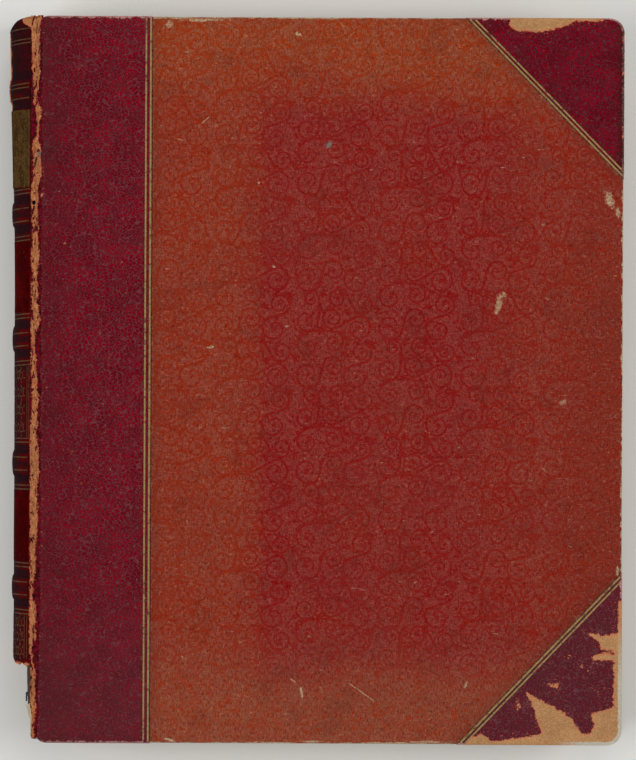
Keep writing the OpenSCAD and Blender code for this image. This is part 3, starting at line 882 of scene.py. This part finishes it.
def ribbons(name, strokes, to_place, relief):
    """Low ridges along strokes; each stroke is a list of (u, v, width) in millimetres."""
    verts, faces = [], []
    for stroke in strokes:
        first = len(verts)
        last = len(stroke) - 1
        for i, (u, v, width) in enumerate(stroke):
            au, av, _ = stroke[max(i - 1, 0)]
            bu, bv, _ = stroke[min(i + 1, last)]
            length = math.hypot(bu - au, bv - av) or 1
            side_u, side_v = -(bv - av) / length * width / 2, (bu - au) / length * width / 2
            for side, lift in ((1, -relief / 2), (0, relief), (-1, -relief / 2)):
                verts.append(Vector(to_place(u + side * side_u, v + side * side_v, lift)) * MM)
        for i in range(last):
            a = first + 3 * i
            faces += [(a, a + 1, a + 4, a + 3), (a + 1, a + 2, a + 5, a + 4)]
    mesh = bpy.data.meshes.new(name)
    mesh.from_pydata(verts, [], faces)
    return add_object(name, mesh)


# Scroll pattern

# Pairs of joined spirals in the tile: x, y and radius of each, then the way each one turns
SCROLL_PAIRS = (
    ((6.2, 6.4, 5.2), (15.9, 9.2, 4.1), 1, 1),
    ((24.8, 5.4, 4.8), (26.8, 14.8, 4.0), -1, -1),
    ((6.2, 17.4, 4.6), (16.2, 18.8, 4.1), -1, 1),
    ((25.6, 24.2, 4.9), (15.6, 28.0, 4.0), 1, 1),
    ((5.6, 27.0, 4.5), (7.4, 35.2, 3.2), 1, -1),
    ((17.6, 35.6, 3.6), (27.6, 33.6, 3.8), -1, -1),
)
# Fans of leaves between them: x, y and heading in degrees
SPRAYS = (
    (0.5, 12.4, 20), (20.8, 13.4, 80), (11.6, 23.2, 140), (31.0, 19.0, 250),
    (11.4, 31.8, 200), (21.0, 29.6, 60), (11.4, 1.0, 330), (20.4, 1.0, 200),
)
# The tile's corner lies this far outside the lower left corner of the cloth
TILE_SHIFT = (9, 12)


def spiral(centre, radius, turns, end, hand, width):
    """Points from a spiral's bud to its outer end, which lies at the angle end."""
    count = int(turns * 16)
    points = []
    for i in range(count + 1):
        t = i / count
        reach = radius * (0.3 + 0.7 * t**0.8)
        angle = end - hand * (1 - t) * turns * 2 * math.pi
        points.append((centre[0] + reach * math.cos(angle), centre[1] + reach * math.sin(angle),
                       width * (0.7 + 0.4 * t)))
    return points


def joined(one, two, hand_one, hand_two, width, chance):
    """Two spirals and the stem that leads from one to the other."""
    lean = math.atan2(two[1] - one[1], two[0] - one[0])
    tails = []
    for (x, y, radius), hand, heading in ((one, hand_one, lean), (two, hand_two, lean + math.pi)):
        end = heading - hand * math.radians(chance.uniform(75, 105))
        tails.append(spiral((x, y), radius, chance.uniform(0.95, 1.45), end, hand, width))
    start, finish = tails[0][-1], tails[1][-1]
    pull = math.hypot(finish[0] - start[0], finish[1] - start[1]) * 0.9
    out_one = math.atan2(start[1] - tails[0][-2][1], start[0] - tails[0][-2][0])
    out_two = math.atan2(finish[1] - tails[1][-2][1], finish[0] - tails[1][-2][0])
    stem = []
    for i in range(1, 7):
        t = i / 7
        h00, h10 = 2 * t**3 - 3 * t**2 + 1, t**3 - 2 * t**2 + t
        h01, h11 = 3 * t**2 - 2 * t**3, t**3 - t**2
        point = [h00 * start[k] + h10 * pull * (math.cos, math.sin)[k](out_one) + h01 * finish[k]
                 - h11 * pull * (math.cos, math.sin)[k](out_two) for k in range(2)]
        stem.append((*point, width * 1.2))
    return tails[0] + stem + tails[1][::-1]


def leaf(x, y, angle, length, width, curl=0.7):
    """A short stroke that swells and tapers, curving a little."""
    points = []
    for i in range(5):
        t = i / 4
        bend = angle + curl * t
        points.append((x + length * t * math.cos(bend), y + length * t * math.sin(bend),
                       width * (0.2 + 1.1 * math.sin(math.pi * min(t * 0.85 + 0.15, 1)))))
    return points


def scroll_tile(width, chance):
    """Strokes of one repeat of the pattern."""
    strokes = []
    for one, two, hand_one, hand_two in SCROLL_PAIRS:
        strokes.append(joined(one, two, hand_one, hand_two, width, chance))
        for (x, y, radius), hand in ((one, hand_one), (two, hand_two)):
            start = chance.uniform(0, 2 * math.pi)
            for k in range(3):
                angle = start + hand * k * 0.62
                root = (x + radius * 1.05 * math.cos(angle), y + radius * 1.05 * math.sin(angle))
                length = chance.uniform(1.5, 2.3)
                strokes.append(leaf(*root, angle + hand * 0.7, length, width, hand * 0.9))
            strokes.append([(x - 0.8, y - 0.1, width * 0.4), (x - 0.2, y, width * 1.8),
                            (x + 0.5, y + 0.15, width * 1.6), (x + 0.9, y + 0.2, width * 0.3)])
    for x, y, turn in SPRAYS:
        for k in range(5):
            angle = math.radians(turn + (k - 2) * 30)
            strokes.append(leaf(x, y, angle, 3.0 - 0.4 * abs(k - 2), width * 0.9, 0.35 * (k - 2)))
    return strokes


def on_cloth(x, y):
    """Whether a scroll may run here: on bare cloth, clear of its edges."""
    return x > SIDE_X + 0.4 and rim_gap(x, y) > 1.1 and min(corner_lines(x, y)) > 0.4


def scroll_strokes():
    """The pattern's strokes over the whole cloth, clipped to it."""
    wide, high = size_mm("tile_width"), size_mm("tile_height")
    tile = scroll_tile(size_mm("scroll_width"), random.Random(4))
    kept = []
    for column in range(-1, int((FORE_X - SIDE_X) / wide) + 2):
        for row in range(-1, int(2 * HEAD_Y / high) + 2):
            left = SIDE_X - TILE_SHIFT[0] + column * wide
            low = -HEAD_Y - TILE_SHIFT[1] + row * high + high / 2 * (column % 2)
            for stroke in tile:
                run = []
                for u, v, width in stroke:
                    if on_cloth(left + u, low + v):
                        run.append((left + u, low + v, width))
                        continue
                    if len(run) > 2:
                        kept.append(run)
                    run = []
                if len(run) > 2:
                    kept.append(run)
    return kept


# Worn patches of the corners, as outlines in millimetres from the fore-edge and the tail or head
TAIL_PATCHES = (
    [(36.9, 20.6), (30.6, 4.8), (36.0, 3.2), (42.8, 2.4), (49.7, 1.6), (54.2, 4.6), (59.0, 2.1),
     (63.0, -2), (-1, -2), (-1, 56.0), (1.4, 55.5), (1.6, 43.6), (7.0, 42.2), (13.2, 43.2),
     (9.2, 40.0), (8.6, 37.4), (2.8, 35.9), (3.0, 35.3), (9.0, 35.4), (12.8, 33.2), (8.0, 32.4),
     (3.2, 32.4), (3.3, 14.8), (6.9, 13.8), (12.0, 12.0), (10.4, 8.0), (12.2, 4.4), (15.7, 5.2),
     (19.2, 10.6), (25.8, 14.7)],
    [(28.7, 23.4), (23.7, 24.1), (24.4, 21.3)],
    [(9.4, 21.8), (8.4, 22.4), (8.8, 20.0)],
    [(40.3, 17.2), (39.3, 17.8), (38.8, 14.2), (39.8, 13.8)],
    [(22.2, 34.2), (19.6, 34.8), (21.0, 33.4)],
    [(13.4, 29.0), (12.6, 29.4), (12.8, 28.4)],
    [(17.0, 30.6), (14.6, 31.0), (14.8, 30.0)],
)
HEAD_PATCHES = (
    [(44.5, -2), (44.5, 2.6), (42.6, 4.8), (34.0, 5.6), (28.0, 4.6), (23.0, 3.4), (20.0, 1.6),
     (8.0, 1.0), (8.0, -2)],
)

# Front joint: middle and half length of the places where crimson islands are left in the hide
JOINT_ISLANDS = ((60, 3), (33, 3), (-79, 5), (-106, 4))
# Its bare strip: place along the joint, left and right edge from the side leather, in millimetres
JOINT_BARE = (
    (141, -4.0, 0.8), (138.5, -3.9, 0.6), (136, -3.8, 0.0), (131, -3.6, 0.1), (124, -3.3, 0.1),
    (118, -2.9, 0.0), (113, -2.7, -0.3), (111, -2.6, -0.8), (106.5, -2.5, -0.8), (105, -1.9, 0.2),
    (102, -1.3, 0.5), (98, -1.2, 0.5), (94, -1.3, 0.0), (91, -2.8, 0.3), (86, -2.4, 0.9),
    (82, -2.8, 0.7), (78, -2.4, 1.0), (74, -3.3, -0.5), (69, -3.3, -0.5), (65, -3.2, -0.5),
    (62, -3.5, 0.1), (58, -2.6, -0.5), (54, -3.0, -0.1), (47, -3.0, 0.1), (43, -3.1, -0.7),
    (39, -2.4, -0.5), (35, -3.4, 0.0), (31, -3.2, -0.5), (26, -2.5, 0.0), (23, -3.4, 0.6),
    (20, -3.2, -0.1), (18, -3.1, -1.4), (9, -3.1, -1.3), (6, -3.4, -0.9), (-1, -2.8, -0.4),
    (-7, -2.6, 0.0), (-17, -3.2, -0.1), (-20, -3.3, -0.7), (-27, -3.6, 0.0), (-34, -3.6, 0.3),
    (-38, -3.5, 0.1), (-42, -3.5, -0.6), (-46, -3.6, 0.3), (-52, -3.4, 0.1), (-60, -3.2, -0.4),
    (-66, -3.4, -0.9), (-74, -3.4, -0.7), (-78, -3.3, -1.6), (-84, -3.2, -1.8), (-88, -3.5, -0.6),
    (-100, -3.5, -0.6), (-104, -3.3, -1.7), (-108, -3.1, -1.6), (-111, -3.1, -0.7),
    (-123, -3.0, -0.7), (-126, -2.8, -0.3), (-129, -2.6, -0.6), (-132, -3.0, -1.2),
    (-139, -3.4, -0.9),
)


def patch_depth(patches, place, along):
    """Signed distance in millimetres into a corner's worn patches, on the outer side alone."""
    if place.z <= MID_Z + 10:
        return -4
    return max(-4, *(inside_outline((FORE_X - place.x, along), patch) for patch in patches))


# What is bare on each piece of the front's leather
BARE_RULES = {
    "front_corner_head": lambda place: patch_depth(HEAD_PATCHES, place, HEAD_Y - place.y),
    "front_corner_tail": lambda place: patch_depth(TAIL_PATCHES, place, HEAD_Y + place.y),
    "front_leather_side": lambda place: -0.5 - rim_gap(place.x, place.y),
}


def joint_bare(x, y):
    """Signed distance in millimetres to the joint's bare strip."""
    for (y1, left1, right1), (y0, left0, right0) in zip(JOINT_BARE, JOINT_BARE[1:]):
        if y >= y0:
            t = max(0, min(1, (y - y0) / (y1 - y0)))
            left, right = left0 + t * (left1 - left0), right0 + t * (right1 - right0)
            return min(x - EDGE_X - left, right - x + EDGE_X)
    return -1.0


def step(t):
    """0 below 0, 1 above 1, smooth between."""
    t = max(0, min(1, t))
    return t * t * (3 - 2 * t)


def spine_place(u, y, lift=0.0):
    """Place on the spine's face: u runs round it from the ridge to the front cover."""
    bump = 0.0
    for i in range(BAND_COUNT):
        off = 2 * abs(y - (BAND_FIRST - i * BAND_PITCH)) / BAND_WIDTH
        if off < 1:
            bump = BAND_HEIGHT * math.cos(math.pi / 2 * off) ** 0.3
    radius = SPINE_RADIUS + bump + lift
    angle = u / SPINE_RADIUS
    free = (math.cos(angle) - math.cos(SPINE_ANGLE)) / (1 - math.cos(SPINE_ANGLE))
    lean = size_mm("flare") * max(0, (y - 30) / 108) ** 1.5
    lean += 0.25 * noise.noise((y * 0.03, u * 0.05, 3))
    x = SPINE_X - radius * math.cos(angle) - lean * max(free, 0)
    return x, y, MID_Z + radius * math.sin(angle)


def tear_at(u):
    """Where the torn end of the spine leather lies."""
    rough = 0.9 * noise.noise((u * 0.3, 7, 0)) + 0.7 * noise.noise((u * 1.1, 2, 0))
    return TORN_END - 0.8 + rough + 3.0 * step((10 - abs(u)) / 10) - 2.2 * step((-u - 8) / 8)


def head_at(u):
    """Height of the head cap, lowest at the ridge."""
    return HEAD_Y + 0.1 - 3.6 * math.cos(math.pi / 2 * min(abs(u) / 16, 1)) ** 2


def band_y(i):
    """Middle of a raised band, counted from the head."""
    return BAND_FIRST - i * BAND_PITCH


# Operators

class BookOperator:
    """What the steps share"""
    bl_options = {"REGISTER", "UNDO"}


class BOOK_OT_pages(BookOperator, bpy.types.Operator):
    """Finish the pages, their lining, sewing and end bands"""
    bl_idname = "book.pages"
    bl_label = "Pages"

    def execute(self, context):
        cord = thread_finish("hemp cord", rgb(170, 148, 108))
        silk = striped_silk("end band silk")
        card = grey_board("brown card")
        dress_node("text_block", page_edges("page edges"))
        dress_node("spine_lining", coarse_weave("lining mull", rgb(92, 72, 48)))
        for name, material in (("sewing_cords", cord), ("headband", silk), ("tailband", silk),
                               ("spine_inlay", card), ("raised_bands", card)):
            dress_node(name, material)
        self.lining()
        self.scrap()
        self.thread()
        return {"FINISHED"}

    @staticmethod
    def lining():
        """What is left of the spine's lining below the torn leather."""
        def place(s, t):
            y = TORN_END + 1 - t * REMAINS_LENGTH
            x = EDGE_X - 4.7 + 2.1 * s + 0.35 * noise.noise((y * 0.3, 4 * s, 2)) + 0.8 * t**2
            return x, y, MID_Z + 9 + 8.4 * s + 0.4 * noise.noise((y * 0.5, 5 * s, 6))
        lining = sheet("lining_remains", 8, 40, place)
        face_out(lining, lambda at: Vector((-1, 0, 0.6)))
        thicken(lining, 0.25)
        torn = coarse_weave("torn lining", rgb(40, 30, 20), 0.08)
        finish_piece(lining, "book_block", "spine_lining", torn)

    @staticmethod
    def scrap():
        """A scrap of paper that hangs on the lining."""
        def place(s, t):
            x = EDGE_X - 5.0 + 2.1 * s + 0.3 * math.sin(5 * t) + 1.8 * t
            y = SCRAP_Y - 4.9 * t - 0.6 * math.sin(4 * s)
            return x, y, TOP_Z - 5.2 + 2.4 * s + 0.5 * math.sin(7 * t)
        scrap = sheet("paper_scrap", 6, 10, place)
        thicken(scrap, 0.15)
        finish_piece(scrap, "book_block", "lining_paper", plain_paper("scrap paper", "board"))

    @staticmethod
    def thread():
        """The loose blue thread beside the scrap."""
        path = [(EDGE_X - 4.5 + 0.25 * math.sin(2.1 * i), THREAD_Y - 0.36 * i,
                 TOP_Z - 6 + 0.3 * math.cos(2 * i)) for i in range(10)]
        curve = bpy.data.curves.new("loose_thread", "CURVE")
        curve.dimensions = "3D"
        curve.bevel_depth = 0.3 * MM
        curve.bevel_resolution = 2
        spline = curve.splines.new("NURBS")
        spline.points.add(len(path) - 1)
        for point, at in zip(spline.points, path):
            point.co = (*(Vector(at) * MM), 1)
        spline.use_endpoint_u = True
        select_only(add_object("loose_thread", curve))
        bpy.ops.object.convert(target="MESH")
        finish_piece(bpy.context.object, "book_block", "endband",
                     thread_finish("blue thread", colours()["blue"]))


class BOOK_OT_boards(BookOperator, bpy.types.Operator):
    """Finish the boards and their lining papers"""
    bl_idname = "book.boards"
    bl_label = "Boards"

    def execute(self, context):
        board = grey_board("millboard")
        paper = plain_paper("lining paper")
        for side in ("front", "rear"):
            dress_node(f"{side}_board", board)
            dress_node(f"{side}_pastedown", paper)
        return {"FINISHED"}


class BOOK_OT_leather(BookOperator, bpy.types.Operator):
    """Model the soft-edged leather of the sides and corners"""
    bl_idname = "book.leather"
    bl_label = "Leather sides and corners"

    def execute(self, context):
        finishes = {
            "front_leather_side": morocco("front side leather", True, True),
            "front_corner_head": morocco("head corner leather", True, False),
            "front_corner_tail": morocco("tail corner leather", True, False),
            "rear_leather_side": morocco("rear side leather", False, True),
            "rear_corner_head": morocco("rear corner leather", False, False),
        }
        finishes["rear_corner_tail"] = finishes["rear_corner_head"]
        for node, material in finishes.items():
            side = node.split("_")[0]
            piece = cad_copy(node, f"{node}_cover")
            soften_rim(piece, LEATHER, size_mm("rim_softness"))
            if side == "front":
                slice_grid(piece, 0.9 if "corner" in node else 3.0)
                set_bare(piece, BARE_RULES[node])
            finish_piece(piece, f"{side}_cover", "side_leather", material, node, smooth=40)
        return {"FINISHED"}


class BOOK_OT_cloth(BookOperator, bpy.types.Operator):
    """Model the cloth sides and their raised scrolls"""
    bl_idname = "book.cloth"
    bl_label = "Cloth sides"

    def execute(self, context):
        strokes = scroll_strokes()
        relief = size_mm("scroll_relief")
        for side in ("front", "rear"):
            front = side == "front"
            piece = cad_copy(f"{side}_cloth", f"{side}_cloth_cover")
            soften_rim(piece, CLOTH, size_mm("rim_softness") * 0.8)
            cloth = scroll_cloth(f"{side} cloth", front, False)
            finish_piece(piece, f"{side}_cover", "cloth", cloth, f"{side}_cloth", smooth=40)
            scrolls = ribbons(f"{side}_scrolls", strokes, self.on_cover(front), relief)
            face_out(scrolls, away_from_book(front))
            lines = scroll_cloth(f"{side} scrolls", front, True)
            finish_piece(scrolls, f"{side}_cover", "cloth", lines)
        return {"FINISHED"}

    @staticmethod
    def on_cover(front):
        """A rule for ribbons: places on the front or the rear cloth."""
        if front:
            return lambda u, v, lift: (u, v, CLOTH_Z + lift)
        return lambda u, v, lift: (u, v, TOP_Z - CLOTH_Z - lift)


class BOOK_OT_fillets(BookOperator, bpy.types.Operator):
    """Finish the gold lines of the covers"""
    bl_idname = "book.fillets"
    bl_label = "Gold lines"

    def execute(self, context):
        leaf_gold = gold("gold fillets", darker(colours()["gold"], 0.85), rgb(84, 14, 26))
        dress_node("front_fillets", leaf_gold)
        dress_node("rear_fillets", leaf_gold)
        return {"FINISHED"}


class BOOK_OT_joints(BookOperator, bpy.types.Operator):
    """Model the joint leather, torn at the front"""
    bl_idname = "book.joints"
    bl_label = "Joints"

    def execute(self, context):
        for side in ("front", "rear"):
            front = side == "front"
            strip = sheet(f"{side}_joint_leather", 14, 360, self.torn if front else self.plain)
            face_out(strip, away_from_book(front))
            thicken(strip, JOINT_LEATHER)
            if front:
                set_bare(strip, lambda place: joint_bare(place.x, place.y))
                slot, material = "joint_leather", joint_hide("torn joint hide")
            else:
                slot, material = "spine_leather", spine_leather("rear joint leather")
            finish_piece(strip, None, slot, material, f"{side}_joint", smooth=60)
            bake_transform(strip)
        return {"FINISHED"}

    @staticmethod
    def plain(s, t):
        """The rear joint: a whole strip that sinks a little between the spine and the cover."""
        y = (2 * t - 1) * (HEAD_Y - JOINT_INSET)
        x = JOINT_X + s * (EDGE_X - HINGE_GAP - JOINT_X)
        rise = s * (TOP_Z - HINGE_GAP - MID_Z - SPINE_HALF) - JOINT_DIP * math.sin(math.pi * s)
        return x, y, TOP_Z - (MID_Z + SPINE_HALF + rise)

    @staticmethod
    def torn(s, t):
        """The front joint: its ragged right side lies on the cover, its ends are torn."""
        end = 0.6 * noise.noise((s * 5, 1, 8)) + 0.4 * noise.noise((s * 14, 2, 8))
        low = 1.4 - HEAD_Y + end + 1.4 * abs(s - 0.4)
        high = HEAD_Y + 0.2 + end - 2.0 * math.exp(-(((s - 0.42) / 0.1) ** 2))
        y = low + t * (high - low)
        left = JOINT_X + 0.3 * noise.noise((y * 0.25, 3, 1)) + 0.25 * noise.noise((y * 0.9, 4, 1))
        left += 0.6 * step((-y - 107) / 6) + 0.5 * step((-y - 125) / 4)
        right = EDGE_X + 0.75 + 0.7 * noise.noise((y * 0.16, 9, 1))
        right += 0.45 * noise.noise((y * 0.7, 5, 1))
        right -= 0.4 * step((-y - 95) / 20) + 0.4 * step((-y - 130) / 6)
        x = left + s * (right - left)
        rise = step((x - JOINT_X) / (EDGE_X - JOINT_X))
        z = MID_Z + SPINE_HALF + rise * (TOP_Z + 0.12 - MID_Z - SPINE_HALF)
        slack = max(0, math.sin(math.pi * min(1, (x - JOINT_X) / (EDGE_X - JOINT_X))))
        z += slack * (0.35 * noise.noise((y * 0.4, 5 * s, 4)) - 0.35)
        return x, y, z


class BOOK_OT_spine(BookOperator, bpy.types.Operator):
    """Model the spine leather, its labels and its gilding"""
    bl_idname = "book.spine"
    bl_label = "Spine"

    def execute(self, context):
        self.leather()
        self.labels()
        self.gilding()
        return {"FINISHED"}

    def leather(self):
        """The bulging leather, torn at the tail and turned over at the head cap."""
        cap = 2.0
        straight = 0.94

        def place(s, t):
            u = (2 * s - 1) * SPINE_ARC
            head = head_at(u) - cap
            if t <= straight:
                low = tear_at(u)
                return spine_place(u, low + t / straight * (head - low))
            turn = (t - straight) / (1 - straight) * math.radians(125)
            droop = 0.5 * noise.noise((u * 0.25, 3, 5)) * math.sin(turn)
            drop = -1.5 * cap * (1 - math.cos(turn))
            return spine_place(u, head + (cap + droop) * math.sin(turn), drop)
        leather = sheet("spine_leather_cover", 48, 420, place)
        face_out(leather, self.outwards)
        thicken(leather, LEATHER)
        finish_piece(leather, "book_block", "spine_leather", spine_leather("spine leather"),
                     "spine_leather", smooth=60)

    @staticmethod
    def outwards(at):
        """A rule for face_out: away from the spine's axis."""
        return Vector((at.x / MM - SPINE_X, 0, at.z / MM - MID_Z))

    def labels(self):
        """The three labels, with worn edges."""
        inset = PANEL_LINE + PANEL_STEP + 0.7
        for name, i in (("gilt_label", 0), ("upper_label", 1), ("lower_label", 3)):
            gilt = name == "gilt_label"
            top, bottom = band_y(i) - (GILT_TOP if gilt else inset), band_y(i + 1) + inset
            half = SPINE_ARC - (0.5 if gilt else 0.8)
            lift = 0.3 if gilt else 0.08

            def place(s, t, top=top, bottom=bottom, half=half, lift=lift):
                edge = abs(2 * s - 1) ** 8 + abs(2 * t - 1) ** 8
                worn = 0.35 * noise.noise((s * 30, t * 40, 5)) * edge
                y = bottom + t * (top - bottom) + worn
                return spine_place((2 * s - 1) * half + worn, y, lift)
            label = sheet(f"{name}_cover", 36, 30, place)
            face_out(label, self.outwards)
            thicken(label, LABEL)
            finish_piece(label, "book_block", "gilt_label" if gilt else "red_label",
                         label_leather(name.replace("_", " "), gilt), name, smooth=50)

    def gilding(self):
        """Lines beside the bands and round the panels, and the foliage in two of them."""
        width = size_mm("gold_width")
        half = SPINE_ARC - 0.3
        across = [half * (2 * k / 40 - 1) for k in range(41)]
        rows = [HEAD_Y - 4.6, HEAD_Y - 8.7, HEAD_Y - 10.1]
        rows += [band_y(0) + 2.4, band_y(0) + 0.9, band_y(0) - 3.1]
        for i in range(1, BAND_COUNT):
            for off in (BAND_LINE, PANEL_LINE, PANEL_LINE + PANEL_STEP):
                rows += [band_y(i) - off, band_y(i) + off]
        strokes = [[(u, y - self.slant(y) * (1 - u / half) / 2, width) for u in across]
                   for y in rows]
        inset = PANEL_LINE + PANEL_STEP + 0.6
        for i, gaps in ((0, (0.9, 3.2)), (2, (0.7, 1.9)), (4, (1.4, 3.0))):
            top = band_y(i) - (inset if i else GILT_TOP + 0.4)
            bottom = band_y(i + 1) + inset if i < 4 else TORN_END + 1.5
            count = int((top - bottom) / 1.5)
            along = [top + (bottom - top) * k / count for k in range(count + 1)]
            for sign in (-1, 1):
                for gap in gaps:
                    strokes.append([(sign * (SPINE_ARC - gap), y, width * 0.8) for y in along])
            if i:
                strokes += self.foliage(top, bottom)
        lines = ribbons("spine_gold", strokes, self.on_leather, 0.04)
        face_out(lines, self.outwards)
        dull = gold("spine gold", colours()["dull_gold"], rgb(34, 6, 8), True)
        finish_piece(lines, "book_block", "gold", dull, "spine_gilding")

    @staticmethod
    def slant(y):
        """How much lower a gold line lies at the rear cover than at the front one."""
        return 1.7 * step((y + 35) / 50)

    @staticmethod
    def on_leather(u, y, lift):
        """A rule for ribbons: places on the leather, or on the gilt label that lies over it."""
        on_label = band_y(1) + PANEL_LINE + PANEL_STEP + 0.5 < y < band_y(0) - (GILT_TOP + 0.1)
        return spine_place(u, y, lift + (0.31 if on_label else 0.02))

    @staticmethod
    def foliage(top, bottom):
        """Mirrored scrolls and leaves that fill a panel."""
        chance = random.Random(9)
        strokes = []
        rows = max(1, round((top - bottom) / 6.4))
        pitch = (top - bottom) / rows
        for row in range(rows):
            y = top - (row + 0.5) * pitch
            for sign in (-1, 1):
                for column in range(3):
                    u = sign * (3.2 + 5.2 * column)
                    turn = sign * (1 if (row + column) % 2 else -1)
                    strokes.append(spiral((u, y), 2.1, 1.3, math.radians(90), turn, 0.36))
                    for k in range(6):
                        angle = math.radians(30 + 60 * k)
                        root = (u + 2.3 * math.cos(angle), y + 2.3 * math.sin(angle))
                        strokes.append(leaf(*root, angle, chance.uniform(0.8, 1.4), 0.42))
        return strokes


class BOOK_OT_stage(BookOperator, bpy.types.Operator):
    """Add the floor, the lights and the camera"""
    bl_idname = "book.stage"
    bl_label = "Stage"

    def execute(self, context):
        self.floor()
        self.lights()
        self.camera()
        context.scene.view_settings.view_transform = "Standard"
        return {"FINISHED"}

    @staticmethod
    def floor():
        """The plain pale ground."""
        bpy.ops.object.select_all(action="DESELECT")
        bpy.ops.mesh.primitive_plane_add(size=6, location=(0, 0, -FLOOR_GAP * MM))
        floor = bpy.context.object
        floor.name = "floor"
        g = Graph("pale floor")
        g.colour = colours()["floor"]
        floor.data.materials.append(g.finish(0.9, specular=0.1))

    @staticmethod
    def lights():
        """Three soft lamps and a grey sky."""
        for name, x, y, z, power in (("left", -1.2, -0.2, 1.25, 15), ("right", 1.2, 0.1, 1.25, 12),
                                     ("head", 0.1, 1.3, 1.2, 6)):
            light = bpy.data.lights.new(f"{name} light", "AREA")
            light.shape = "DISK"
            light.size = 0.9
            light.energy = power
            lamp = add_object(f"{name} light", light)
            lamp.location = (x, y, z)
            lamp.rotation_euler = (-lamp.location).to_track_quat("-Z", "Y").to_euler()
        world = bpy.data.worlds.new("studio")
        bpy.context.scene.world = world
        world.use_nodes = True
        sky = world.node_tree.nodes["Background"].inputs
        sky["Color"].default_value = (0.9, 0.95, 1.0, 1)
        sky["Strength"].default_value = 0.34

    @staticmethod
    def camera():
        """The photo's camera, straight above the book."""
        camera = bpy.data.cameras.new("camera")
        camera.sensor_width = 36
        camera.lens = camera.sensor_width * VIEW_HEIGHT / (VIEW_PIXELS * VIEW_PIXEL)
        camera.clip_end = 20
        holder = add_object("camera", camera)
        holder.location = Vector((*VIEW_MIDDLE, TOP_Z + VIEW_HEIGHT)) * MM
        holder.rotation_euler = (0, 0, math.radians(VIEW_TURN))
        bpy.context.scene.camera = holder


STEPS = (BOOK_OT_stage, BOOK_OT_pages, BOOK_OT_boards, BOOK_OT_leather, BOOK_OT_cloth,
         BOOK_OT_fillets, BOOK_OT_joints, BOOK_OT_spine)


class BOOK_PT_panel(bpy.types.Panel):
    """Lists the book's sizes, colours and steps"""
    bl_idname = "BOOK_PT_panel"
    bl_label = "Half-leather book"
    bl_space_type = "VIEW_3D"
    bl_region_type = "UI"
    bl_category = "Book"

    def draw(self, context):
        for group in (context.scene.book_sizes, context.scene.book_colours):
            for key in type(group).__annotations__:
                self.layout.prop(group, key)
        for operator in STEPS:
            self.layout.operator(operator.bl_idname)


CLASSES = (BookColours, BookSizes, *STEPS, BOOK_PT_panel)


def register():
    """Adds the operators, the panel and the scene's settings."""
    for item in CLASSES:
        bpy.utils.register_class(item)
    bpy.types.Scene.book_colours = bpy.props.PointerProperty(type=BookColours)
    bpy.types.Scene.book_sizes = bpy.props.PointerProperty(type=BookSizes)


def unregister():
    """Takes away what register added."""
    del bpy.types.Scene.book_sizes
    del bpy.types.Scene.book_colours
    for item in reversed(CLASSES):
        bpy.utils.unregister_class(item)


def main():
    """Builds everything step by step."""
    register()
    bpy.ops.book.stage()
    bpy.ops.book.pages()
    bpy.ops.book.boards()
    bpy.ops.book.leather()
    bpy.ops.book.cloth()
    bpy.ops.book.fillets()
    bpy.ops.book.joints()
    bpy.ops.book.spine()


if __name__ == "__main__":
    main()
